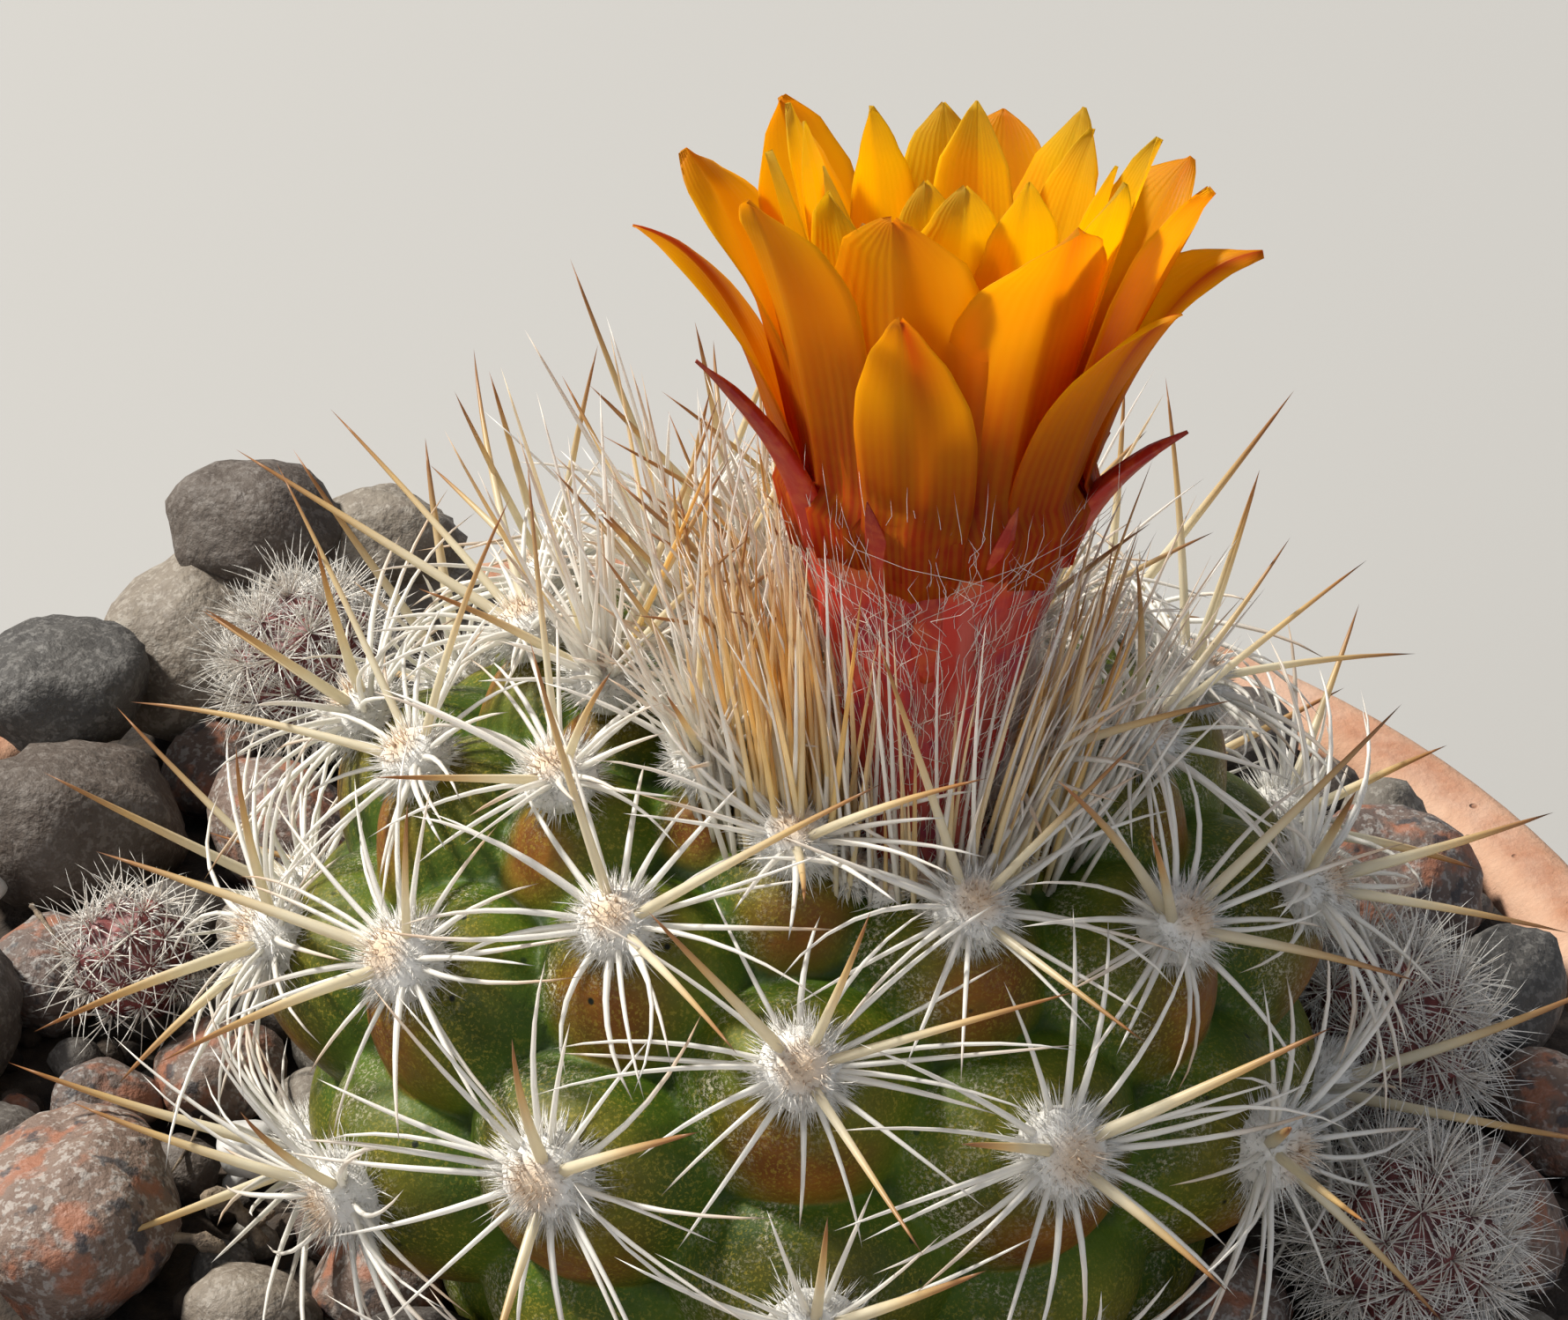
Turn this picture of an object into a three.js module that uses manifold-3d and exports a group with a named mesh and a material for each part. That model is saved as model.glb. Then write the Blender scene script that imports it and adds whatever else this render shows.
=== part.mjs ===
// A small globular cactus with one open flower and four offsets, in a plain clay pot
// filled with soil and dressed with pebbles. Millimetres, +Z up, origin at the centre
// of the pot's foot. The front of the plant faces -Y.
import * as THREE from 'three';
import { mergeVertices } from 'three/addons/utils/BufferGeometryUtils.js';
import Module from 'manifold-3d';

const wasm = await Module();
wasm.setup();
const { Manifold } = wasm;

// Driving dimensions. GAP is the room left between neighbours, and FINEST the step in a
// surface that is smoothed away.
const GAP = 0.3;
const FINEST = 0.04;

const POT = {
  height: 73,
  rimRadius: 40.5,
  rimInner: 37,
  rimBand: 15,
  rimStep: 2.4,
  footRadius: 27,
  wall: 3.6,
  floor: 6,
  drainRadius: 4,
  edge: 0.8,
  segments: 32,
};

const SOIL = { top: 69.8, rootClearance: 0.4 };

const GRAVEL = {
  bottom: SOIL.top + GAP,
  slabTop: 72.6,
  wallGap: 0.5,
  fillers: 52,
  smallest: 3.1,
  largest: 4.7,
  flatness: 0.72,
  tilt: 0.5,
  reachOverWall: 1.8,
  bareUnderStem: 13,
  stemClearance: 0.5,
  offsetClearance: 0.35,
};

// The larger stones of the dressing, heaped behind the plant on its left: centre, half
// length, turn about the vertical
const LARGE_STONES = [
  { x: -12, y: 30.5, z: 75, half: 4.9, turn: 0.2 },
  { x: -12.8, y: 31, z: 79, half: 3.4, turn: 2.8 },
  { x: -20, y: 28, z: 76, half: 4.8, turn: 0.9 },
  { x: -18, y: 30, z: 80.2, half: 3.6, turn: 0.1 },
  { x: -25.5, y: 22.5, z: 77.6, half: 3.8, turn: 2.2 },
  { x: -24.5, y: 15.5, z: 75.6, half: 4.6, turn: 0.3 },
  { x: -21.8, y: -8.5, z: 75.4, half: 5, turn: 1.6 },
  { x: -29, y: 3, z: 75, half: 4.2, turn: 1.1 },
  { x: 28.4, y: 10.4, z: 75.8, half: 3.9, turn: 2.4 },
  { x: 32, y: 4, z: 75.6, half: 3.2, turn: 0.9 },
];

// Stem: an ellipsoid through the areoles, with one tubercle under each areole.
// squash is its height over its width, and crownDip the hollow at its growing point.
const STEM = {
  x: 5,
  y: -5,
  centreZ: 83.5,
  radius: 19.4,
  squash: 0.77,
  crownDip: 2.2,
  crownWidth: 5.5,
  tubercle: 2.7,
  columns: 60,
  rows: 30,
  bottom: 72.9,
  rootSunk: 0.5,
  rootRadius: 3,
  rootTip: 1.2,
  rootEnd: 50,
  rootSegments: 10,
  roomRows: 12,
  roomSegments: 48,
};

// Areoles stand on spiralling ribs: each is turned by two ribs from the one before, and
// lies a little further from the growing point. Angles are in degrees from that point.
const RIBS = 13;
const RIB_DRIFT = 1.3;
const AREOLES = { first: -33, last: 22, atZero: 55.2, step: 2.33, growth: 0.0226, buried: 10 };

// A tubercle spans this share of the spacing of the areoles, is this much steeper above
// its areole and longer below it, and is full grown where the areoles are this far apart
const TUBERCLE = { share: 0.62, steeper: 1.3, longer: 1.2, grownSpacing: 9 };

const SPINE = {
  sink: 0.9,
  radialRadius: 0.24,
  centralRadius: 0.34,
  radialLength: 6.8,
  centralLength: 11,
  crownLength: 13,
  crownAngle: 22,
  clearance: 0.3,
  radialRise: 20,
  centralRise: 44,
  crownRadialRise: 48,
  crownCentralRise: 72,
  steepest: 86,
  raiseStep: 9,
};

// Compass turns of the spines round an areole, in degrees from the growing point
const RADIAL_TURNS = [-42, 42, -84, 84, -130, 130];
const CENTRAL_TURNS = [-38, 38, 180];
const CROWN_RADIAL_TURNS = [-90, 90];
const CROWN_CENTRAL_TURNS = [0, 180];

const WOOL = { radius: 1.75, smallest: 0.45, sink: 0.1 };

// Flower: its foot between four tubercles of the stem's shoulder, and the lean of its
// axis. Heights are over its foot.
const FLOWER = {
  footAngle: 26,
  footTurn: 31,
  footInset: 2.2,
  sideLean: 2.5,
  backLean: 11,
  socketDepth: 1.2,
  socketRim: 4,
  footRadius: 2.25,
  rimRadius: 5.1,
  tubeHeight: 13.4,
  cupRadius: 3.5,
  cupFloor: 7.5,
  segments: 20,
  petalThickness: 0.6,
  sideSpread: 0.3,
  reach: 10.8,
  height: 27,
};

// Scales on the tube: height of the root, length, lean outwards, and turns from the
// front in degrees
const SCALE = { radius: 1.05, flatness: 0.5, sunk: 1, inset: 0.5 };
const SCALE_WHORLS = [
  { root: 12, length: 5.2, lean: 42, turns: [-66, 80, 132, -148, 176] },
  { root: 11, length: 3.9, lean: 25, turns: [-25, 23, 106, -108] },
  { root: 8.6, length: 3.2, lean: 16, turns: [-4, 56, -84, 150, -160] },
];

// Petals, outermost row first: root radius and height, reach and height of the tips,
// half width, how far out and up the blade bends, and turns from the front in degrees
const OUTER_ROWS = [
  {
    rootRadius: 4.7, root: 14.2, reach: 10.3, tip: 21.8, half: 2.1, out: 0.3, up: 0.75,
    turns: [-92, -11, 48, 97, 150, -148],
  },
  {
    rootRadius: 4.4, root: 14.2, reach: 8.7, tip: 24.2, half: 2.2, out: 0.36, up: 0.62,
    turns: [-99, -56, -16, 25, 70, 110, 160, -132],
  },
];
const INNER_ROWS = [
  {
    rootRadius: 3.4, root: 15.5, reach: 6.6, tip: 25, half: 1.8, out: 0.42, up: 0.55,
    turns: [-124, -80, -38, 4, 48, 96, 136, 176],
  },
  {
    rootRadius: 3.1, root: 15.5, reach: 5.2, tip: 24.8, half: 1.6, out: 0.45, up: 0.52,
    turns: [-102, -58, -12, 32, 78, 122, 162, -146],
  },
];
const OUTER_COLLAR = { inner: 3.6, outer: 4.9 };
const INNER_COLLAR = { inner: 2.8, outer: 3.8 };
const COLLAR_HEIGHT = 1;

// Width of a petal over its widest, at shares of its length
const PETAL_STATIONS = [
  { share: 0, width: 0.42 },
  { share: 0.35, width: 0.8 },
  { share: 0.65, width: 1 },
  { share: 0.87, width: 0.7 },
  { share: 1, width: 0.1 },
];

const STAMENS = { count: 14, radius: 0.22, height: 11.5, ringInner: 1.1, ringOuter: 2.1, ringHeight: 0.7 };
const STYLE = { radius: 0.5, height: 13, lobes: 7, lobeRadius: 0.32, lobeLength: 2.1 };

// Offsets: centre and half width of each small head
const OFFSETS = [
  { name: 'offset_left_front', x: -20.8, y: 5.1, z: 76.6, radius: 2.5 },
  { name: 'offset_left_back', x: -15.1, y: 22.6, z: 78.4, radius: 3.3 },
  { name: 'offset_right_back', x: 27, y: -1.6, z: 78, radius: 3.6 },
  { name: 'offset_right_front', x: 27, y: -11.8, z: 76.6, radius: 3.5 },
];
const OFFSET = {
  areoles: 18,
  coveredShare: 0.7,
  spinesEach: 2,
  spineRadius: 0.22,
  spineSink: 0.7,
  stray: 1.2,
};

const COLOURS = {
  clay: 0xb5643c,
  soil: 0x2b221b,
  stone: 0x8d857b,
  stem: 0x4f7422,
  tube: 0xc8453a,
  orange: 0xe87508,
  yellow: 0xf2a90c,
  pollen: 0xf5d24a,
  cream: 0xf3e9b4,
  offset: 0x6b3531,
};

// Helpers

// A repeatable stream of numbers from 0 to 1
function seeded(seed) {
  let state = seed;
  return () => {
    state = (state + 0x6d2b79f5) | 0;
    let t = Math.imul(state ^ (state >>> 15), 1 | state);
    t = (t + Math.imul(t ^ (t >>> 7), 61 | t)) ^ t;
    return ((t ^ (t >>> 14)) >>> 0) / 4294967296;
  };
}

// A closed three.js geometry as a solid that can be joined and cut
function solid(geometry) {
  const bare = geometry.clone();
  bare.deleteAttribute('normal');
  bare.deleteAttribute('uv');
  const merged = mergeVertices(bare, 1e-4);
  return new Manifold(new wasm.Mesh({
    numProp: 3,
    vertProperties: new Float32Array(merged.attributes.position.array),
    triVerts: new Uint32Array(merged.index.array),
  }));
}

// The largest body of a solid, which drops the loose scraps that a cut leaves
function largestBody(made) {
  return made.decompose().sort((a, b) => b.volume() - a.volume())[0];
}

function mesh(name, made, colour, roughness) {
  const data = largestBody(made).simplify(FINEST).getMesh();
  const geometry = new THREE.BufferGeometry();
  geometry.setAttribute('position', new THREE.BufferAttribute(data.vertProperties, 3));
  geometry.setIndex(new THREE.BufferAttribute(data.triVerts, 1));
  geometry.computeVertexNormals();
  const material = new THREE.MeshStandardMaterial({ color: colour, roughness, metalness: 0 });
  const node = new THREE.Mesh(geometry, material);
  node.name = name;
  return node;
}

// A solid of revolution about +Z from a profile of [radius, height] points
function turned(profile, segments) {
  const points = profile.map(([r, z]) => new THREE.Vector2(r, z));
  return new THREE.LatheGeometry(points, segments).rotateX(Math.PI / 2);
}

// A turned solid from a profile that closes on itself, clear of the axis
function turnedRing(profile, segments) {
  return solid(turned([...profile, profile[0]], segments));
}

// A three-sided needle from a root point, along a direction
function needle(root, direction, length, radius) {
  const shape = new THREE.ConeGeometry(radius, length, 3, 1);
  shape.translate(0, length / 2, 0);
  const turn = new THREE.Quaternion().setFromUnitVectors(new THREE.Vector3(0, 1, 0), direction);
  shape.applyQuaternion(turn);
  shape.translate(root.x, root.y, root.z);
  return solid(shape);
}

// A point at a distance from +Z and a turn from the front towards +X
function around(distance, turn, z) {
  return new THREE.Vector3(distance * Math.sin(turn), -distance * Math.cos(turn), z);
}

const radians = THREE.MathUtils.degToRad;

// Pot

// The pot's section, turned about its axis, with a drain hole in the floor
function pot() {
  const p = POT;
  const shoulder = p.height - p.rimBand;
  return turnedRing([
    [p.drainRadius, 0],
    [p.footRadius - p.edge, 0],
    [p.footRadius, p.edge],
    [p.rimRadius - p.rimStep, shoulder],
    [p.rimRadius - p.edge, shoulder],
    [p.rimRadius, shoulder + p.edge],
    [p.rimRadius, p.height - p.edge],
    [p.rimRadius - p.edge, p.height],
    [p.rimInner + p.edge, p.height],
    [p.rimInner, p.height - p.edge],
    [innerRadius(p.floor), p.floor],
    [p.drainRadius, p.floor],
  ], p.segments);
}

// Radius of the pot's inner wall at a height
function innerRadius(z) {
  const bottom = POT.footRadius - POT.wall;
  const share = (z - POT.floor) / (POT.height - POT.edge - POT.floor);
  return bottom + (POT.rimInner - bottom) * share;
}

// Stem surface

function areoleAngle(index) {
  const a = AREOLES;
  return radians(a.atZero + a.step * index + a.growth * index * index);
}

// Turn of an areole about the stem's axis, from the front towards +X
function areoleTurn(index) {
  return radians((RIB_DRIFT - 720) * index / RIBS);
}

// A point of the ellipsoid through the areoles, or of one inset below it, at an angle
// from the growing point and a turn from the front
function stemPoint(angle, turn, inset = 0) {
  const s = STEM;
  const r = s.radius * Math.sin(angle);
  const dip = angle < Math.PI / 2 ? s.crownDip * Math.exp(-((r / s.crownWidth) ** 2)) : 0;
  const z = s.radius * s.squash * Math.cos(angle) - dip;
  const slope = Math.hypot(s.squash * Math.sin(angle), Math.cos(angle));
  const narrowed = Math.max(0, r - inset * s.squash * Math.sin(angle) / slope);
  const place = around(narrowed, turn, s.centreZ + z - inset * Math.cos(angle) / slope);
  return place.add(new THREE.Vector3(s.x, s.y, 0));
}

// The areole's place, the directions up its rib, sideways and outwards, and the spacing
// of the areoles about it
function areole(index) {
  const angle = areoleAngle(index);
  const turn = areoleTurn(index);
  const place = stemPoint(angle, turn);
  const step = 1e-3;
  const up = stemPoint(angle - step, turn).sub(place);
  const arc = up.length() / step;
  up.normalize();
  const side = new THREE.Vector3(Math.cos(turn), Math.sin(turn), 0);
  const normal = new THREE.Vector3().crossVectors(side, up).normalize();
  const pitch = radians(AREOLES.step + 2 * AREOLES.growth * index);
  const spacing = Math.sqrt(2 * Math.PI * STEM.radius * Math.sin(angle) * arc * pitch);
  return { index, angle, turn, place, up, side, normal, spacing };
}

const areoles = [];
for (let index = AREOLES.first; index <= AREOLES.last + AREOLES.buried; index++) {
  areoles.push(areole(index));
}

// Height of the tubercles over the furrows at a point of the stem. Each is a dome that
// is steep above its areole and runs out in a chin below it.
function tubercleHeight(point) {
  let height = 0;
  for (const a of areoles) {
    const away = point.clone().sub(a.place);
    const above = away.dot(a.up);
    const along = above > 0 ? above * TUBERCLE.steeper : above / TUBERCLE.longer;
    const span = TUBERCLE.share * a.spacing;
    const share = Math.hypot(away.dot(a.side), along, away.dot(a.normal)) / span;
    const full = STEM.tubercle * Math.min(1, a.spacing / TUBERCLE.grownSpacing);
    if (share < 1) height = Math.max(height, full * (1 - share * share));
  }
  return height;
}

// The stem's body: a ball drawn out to the ellipsoid with a tubercle raised at each
// areole, flat underneath, and its root
function stemBody() {
  const s = STEM;
  const ball = new THREE.SphereGeometry(1, s.columns, s.rows);
  ball.rotateX(Math.PI / 2);
  const position = ball.attributes.position;
  for (let i = 0; i < position.count; i++) {
    const angle = Math.acos(THREE.MathUtils.clamp(position.getZ(i), -1, 1));
    const turn = Math.atan2(position.getX(i), -position.getY(i));
    const raised = tubercleHeight(stemPoint(angle, turn));
    const moved = stemPoint(angle, turn, s.tubercle - raised);
    position.setXYZ(i, moved.x, moved.y, moved.z);
  }
  const under = new THREE.BoxGeometry(4 * s.radius, 4 * s.radius, 2 * s.radius);
  under.translate(s.x, s.y, s.bottom - s.radius);
  return solid(ball).subtract(solid(under)).add(root(0));
}

// The tapering root, grown by an amount for the hole that it stands in
function root(grow) {
  const s = STEM;
  const profile = [
    [0, s.rootEnd - grow],
    [s.rootTip + grow, s.rootEnd - grow],
    [s.rootRadius + grow, s.bottom + s.rootSunk],
    [0, s.bottom + s.rootSunk],
  ];
  return solid(turned(profile, s.rootSegments).translate(s.x, s.y, 0));
}

// Room that the stem needs in the gravel: its smooth outside, grown by an amount
function stemRoom(grow) {
  const s = STEM;
  const profile = [];
  const bottomAngle = Math.acos((s.bottom - s.centreZ) / (s.radius * s.squash));
  for (let row = s.roomRows; row >= 0; row--) {
    const p = stemPoint(bottomAngle * row / s.roomRows, Math.PI / 2, -grow);
    profile.push([row === 0 ? 0 : p.x - s.x, p.z]);
  }
  const floor = s.bottom - grow;
  const outside = turned([[0, floor], [profile[0][0], floor], ...profile], s.roomSegments);
  return solid(outside.translate(s.x, s.y, 0)).add(root(grow));
}

// Flower

const flowerFoot = stemPoint(radians(FLOWER.footAngle), radians(FLOWER.footTurn), FLOWER.footInset);
const flowerPlace = new THREE.Matrix4()
  .makeTranslation(flowerFoot.x, flowerFoot.y, flowerFoot.z)
  .multiply(new THREE.Matrix4().makeRotationY(radians(FLOWER.sideLean)))
  .multiply(new THREE.Matrix4().makeRotationX(-radians(FLOWER.backLean)));

// Outer radius of the flower's tube at a height over its foot
function tubeRadius(height) {
  const f = FLOWER;
  const share = THREE.MathUtils.clamp(height / f.tubeHeight, 0, 1);
  return f.footRadius + (f.rimRadius - f.footRadius) * share ** 1.5;
}

// A pointed scale, rooted in the tube
function tubeScale(whorl, turnDegrees) {
  const length = whorl.length + SCALE.sunk;
  const lean = radians(whorl.lean);
  const scale = new THREE.ConeGeometry(SCALE.radius, length, 4, 1);
  scale.rotateX(Math.PI / 2);
  scale.scale(1, SCALE.flatness, 1);
  scale.translate(0, 0, length / 2);
  scale.rotateX(lean);
  const root = whorl.root - SCALE.sunk * Math.cos(lean);
  scale.translate(0, SCALE.inset - tubeRadius(whorl.root), root);
  return solid(scale.rotateZ(radians(turnDegrees)));
}

function flowerTube() {
  const f = FLOWER;
  const profile = [[0, -f.socketDepth], [f.footRadius, -f.socketDepth]];
  for (let height = 0; height <= f.tubeHeight; height += f.tubeHeight / 4) {
    profile.push([tubeRadius(height), height]);
  }
  profile.push([f.cupRadius, f.tubeHeight], [STAMENS.ringOuter + GAP, f.cupFloor], [0, f.cupFloor]);
  const parts = [solid(turned(profile, f.segments))];
  for (const whorl of SCALE_WHORLS) {
    for (const turn of whorl.turns) parts.push(tubeScale(whorl, turn));
  }
  return Manifold.union(parts);
}

// One petal: a thin blade that arches outwards from the collar, cupped towards the axis
function petal(row, turnDegrees, random) {
  const turn = radians(turnDegrees);
  const spread = 1 - FLOWER.sideSpread * (1 - Math.abs(Math.sin(turn)));
  const reach = row.reach * spread * (0.96 + 0.08 * random());
  const tip = row.tip + 0.8 * (random() - 0.5);
  const start = new THREE.Vector2(row.rootRadius, row.root - 1);
  const bend = new THREE.Vector2(
    row.rootRadius + (reach - row.rootRadius) * row.out,
    row.root + (tip - row.root) * row.up,
  );
  const line = new THREE.QuadraticBezierCurve(start, bend, new THREE.Vector2(reach, tip));
  const half = FLOWER.petalThickness / 2;
  const corners = [];
  for (const station of PETAL_STATIONS) {
    const p = line.getPoint(station.share);
    const along = line.getTangent(station.share);
    const wide = row.half * station.width;
    for (const side of [-1, 0, 1]) {
      const cupped = side * side * wide * wide / (2 * p.x);
      for (const face of [-1, 1]) {
        const shift = face * half - cupped;
        corners.push(side * wide, -(p.x + along.y * shift), p.y - along.x * shift);
      }
    }
  }
  const geometry = new THREE.BufferGeometry();
  geometry.setAttribute('position', new THREE.Float32BufferAttribute(corners, 3));
  geometry.setIndex(bladeFaces(PETAL_STATIONS.length));
  return solid(geometry.rotateZ(turn));
}

// Faces of a blade with three points across at each station, split alike on both faces
function bladeFaces(count) {
  const faces = [];
  const at = (station, side, face) => station * 6 + side * 2 + face;
  const quad = (a, b, c, d) => faces.push(a, b, c, a, c, d);
  for (let s = 0; s < count - 1; s++) {
    for (let side = 0; side < 2; side++) {
      const [a, b, c, d] = [at(s, side, 0), at(s, side + 1, 0), at(s + 1, side + 1, 0), at(s + 1, side, 0)];
      faces.push(a, c, b, a, d, c);
      quad(a + 1, b + 1, c + 1, d + 1);
    }
    quad(at(s, 0, 0), at(s, 0, 1), at(s + 1, 0, 1), at(s + 1, 0, 0));
    quad(at(s, 2, 0), at(s + 1, 2, 0), at(s + 1, 2, 1), at(s, 2, 1));
  }
  const last = count - 1;
  for (let side = 0; side < 2; side++) {
    quad(at(0, side, 0), at(0, side + 1, 0), at(0, side + 1, 1), at(0, side, 1));
    quad(at(last, side, 0), at(last, side, 1), at(last, side + 1, 1), at(last, side + 1, 0));
  }
  return faces;
}

// Rows of petals on the collar that joins their roots
function tepals(rows, collar, random) {
  const low = rows[0].root - COLLAR_HEIGHT / 2;
  const parts = [turnedRing([
    [collar.inner, low],
    [collar.outer, low],
    [collar.outer, low + COLLAR_HEIGHT],
    [collar.inner, low + COLLAR_HEIGHT],
  ], FLOWER.segments)];
  for (const row of rows) {
    for (const turn of row.turns) parts.push(petal(row, turn, random));
  }
  const depth = 4;
  const below = new THREE.CylinderGeometry(2 * collar.outer, 2 * collar.outer, depth, 8);
  below.rotateX(Math.PI / 2).translate(0, 0, low - depth / 2);
  return Manifold.union(parts).subtract(solid(below));
}

// The stamens stand in a ring on the floor of the cup
function stamens(random) {
  const s = STAMENS;
  const foot = FLOWER.cupFloor + GAP;
  const parts = [turnedRing([
    [s.ringInner, foot],
    [s.ringOuter, foot],
    [s.ringOuter, foot + s.ringHeight],
    [s.ringInner, foot + s.ringHeight],
  ], FLOWER.segments)];
  for (let i = 0; i < s.count; i++) {
    const turn = 2 * Math.PI * (i + 0.3 * random()) / s.count;
    const start = around((s.ringInner + s.ringOuter) / 2, turn, foot + 0.2);
    const direction = around(0.04 + 0.05 * random(), turn, 1).normalize();
    parts.push(needle(start, direction, s.height * (0.85 + 0.15 * random()), s.radius));
  }
  return Manifold.union(parts);
}

function style() {
  const s = STYLE;
  const foot = FLOWER.cupFloor + GAP;
  const column = new THREE.CylinderGeometry(s.radius * 1.2, s.radius, s.height, 8);
  column.rotateX(Math.PI / 2).translate(0, 0, foot + s.height / 2);
  const parts = [solid(column)];
  for (let i = 0; i < s.lobes; i++) {
    const direction = around(1, 2 * Math.PI * i / s.lobes, 1.5).normalize();
    const start = new THREE.Vector3(0, 0, foot + s.height - s.radius);
    parts.push(needle(start, direction, s.lobeLength, s.lobeRadius));
  }
  return Manifold.union(parts);
}

// The flower's plain socket in the stem
function socket() {
  const f = FLOWER;
  return solid(turned([
    [0, -f.socketDepth - GAP],
    [f.footRadius + GAP, -f.socketDepth - GAP],
    [f.footRadius + GAP, 0],
    [tubeRadius(f.socketRim) + GAP, f.socketRim],
    [0, f.socketRim],
  ], f.segments)).transform(flowerPlace.elements);
}

// Room that the flower needs among the spines
function flowerRoom() {
  const f = FLOWER;
  return solid(turned([
    [0, -f.socketDepth - GAP],
    [f.footRadius + GAP, -f.socketDepth - GAP],
    [f.footRadius + 2 * GAP, 0],
    [tubeRadius(f.tubeHeight * 0.6) + 1, f.tubeHeight * 0.6],
    [tubeRadius(f.tubeHeight) + 3, f.tubeHeight],
    [f.reach, f.tubeHeight + 3],
    [f.reach, f.height],
    [0, f.height],
  ], 16)).transform(flowerPlace.elements);
}

// Spines and wool

// A direction at a compass turn round an areole and a rise over the stem's surface
function spineDirection(a, turnDegrees, riseDegrees) {
  const turn = radians(turnDegrees);
  const rise = radians(riseDegrees);
  return new THREE.Vector3()
    .addScaledVector(a.up, Math.cos(turn) * Math.cos(rise))
    .addScaledVector(a.side, Math.sin(turn) * Math.cos(rise))
    .addScaledVector(a.normal, Math.sin(rise))
    .normalize();
}

// A spine, raised step by step until it clears the neighbouring pieces
function clearSpine(a, turn, rise, length, radius, obstacles) {
  for (let raised = rise; raised < SPINE.steepest; raised += SPINE.raiseStep) {
    const direction = spineDirection(a, turn, raised);
    const start = a.place.clone().addScaledVector(direction, -SPINE.sink);
    const room = needle(start, direction, length + SPINE.sink + SPINE.clearance, radius + SPINE.clearance);
    if (obstacles.every((o) => room.intersect(o).isEmpty())) {
      return needle(start, direction, length + SPINE.sink, radius);
    }
  }
  return null;
}

function areoleSpines(a, obstacles, random) {
  const inCrown = a.angle < radians(SPINE.crownAngle);
  const size = THREE.MathUtils.clamp(a.spacing / TUBERCLE.grownSpacing, 0.5, 1);
  const radials = inCrown ? CROWN_RADIAL_TURNS : RADIAL_TURNS;
  const centrals = inCrown ? CROWN_CENTRAL_TURNS : CENTRAL_TURNS;
  const spines = [];
  for (const turn of radials) {
    const length = SPINE.radialLength * size * (0.85 + 0.3 * random());
    const rise = (inCrown ? SPINE.crownRadialRise : SPINE.radialRise) + 8 * random();
    spines.push(clearSpine(a, turn + 10 * (random() - 0.5), rise, length, SPINE.radialRadius, obstacles));
  }
  for (const turn of centrals) {
    const full = inCrown ? SPINE.crownLength : SPINE.centralLength * size;
    const length = full * (0.8 + 0.3 * random());
    const rise = (inCrown ? SPINE.crownCentralRise : SPINE.centralRise) + 12 * random();
    spines.push(clearSpine(a, turn + 24 * (random() - 0.5), rise, length, SPINE.centralRadius, obstacles));
  }
  return spines.filter((s) => s !== null);
}

function woolPad(a) {
  const radius = WOOL.radius * THREE.MathUtils.clamp(a.spacing / TUBERCLE.grownSpacing, WOOL.smallest, 1);
  const pad = new THREE.IcosahedronGeometry(radius, 0);
  const centre = a.place.clone().addScaledVector(a.normal, -WOOL.sink * radius);
  return solid(pad.translate(centre.x, centre.y, centre.z));
}

function stem(obstacles, random) {
  const flower = flowerRoom();
  const grown = [stemBody().subtract(socket())];
  for (const a of areoles) {
    const pad = woolPad(a);
    const crowded = [flower, ...obstacles].some((o) => !pad.intersect(o).isEmpty());
    if (a.index > AREOLES.last || crowded) continue;
    grown.push(pad, ...areoleSpines(a, [flower, ...obstacles], random));
  }
  return Manifold.union(grown);
}

// Offsets

function offsetBody(o, grow) {
  const ball = new THREE.SphereGeometry(o.radius + grow, 10, 7).rotateX(Math.PI / 2);
  return solid(ball.translate(o.x, o.y, o.z));
}

// A small head with spines on the upper part of it, spread evenly by the golden angle
function offset(o, obstacles, random) {
  const grown = [offsetBody(o, 0)];
  const centre = new THREE.Vector3(o.x, o.y, o.z);
  for (let i = 0; i < OFFSET.areoles; i++) {
    const height = 1 - 2 * OFFSET.coveredShare * (i + 0.5) / OFFSET.areoles;
    const outward = around(Math.sqrt(1 - height * height), i * Math.PI * (3 - Math.sqrt(5)), height);
    for (let k = 0; k < OFFSET.spinesEach; k++) {
      const stray = new THREE.Vector3(random() - 0.5, random() - 0.5, random() - 0.3);
      const direction = outward.clone().addScaledVector(stray, OFFSET.stray).normalize();
      const start = centre.clone().addScaledVector(outward, o.radius - OFFSET.spineSink);
      const length = o.radius * (0.75 + 0.35 * random()) + OFFSET.spineSink;
      const room = needle(start, direction, length + SPINE.clearance, OFFSET.spineRadius + SPINE.clearance);
      if (obstacles.some((other) => !room.intersect(other).isEmpty())) continue;
      grown.push(needle(start, direction, length, OFFSET.spineRadius));
    }
  }
  return Manifold.union(grown);
}

// Soil and gravel

function soil() {
  const low = POT.floor + GAP;
  const plug = turned([
    [0, low],
    [innerRadius(low) - GAP, low],
    [innerRadius(SOIL.top) - GAP, SOIL.top],
    [0, SOIL.top],
  ], POT.segments);
  return solid(plug).subtract(root(SOIL.rootClearance));
}

// A pebble: a ball with few sides, drawn out, flattened and tilted by its own draws
function pebble(x, y, z, half, turn, random) {
  const stone = new THREE.IcosahedronGeometry(1, 0).rotateZ(2 * Math.PI * random());
  stone.scale(half, half * (0.7 + 0.25 * random()), half * GRAVEL.flatness * (0.9 + 0.2 * random()));
  stone.rotateX(GRAVEL.tilt * (random() - 0.5)).rotateY(GRAVEL.tilt * (random() - 0.5)).rotateZ(turn);
  return solid(stone.translate(x, y, z));
}

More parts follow.
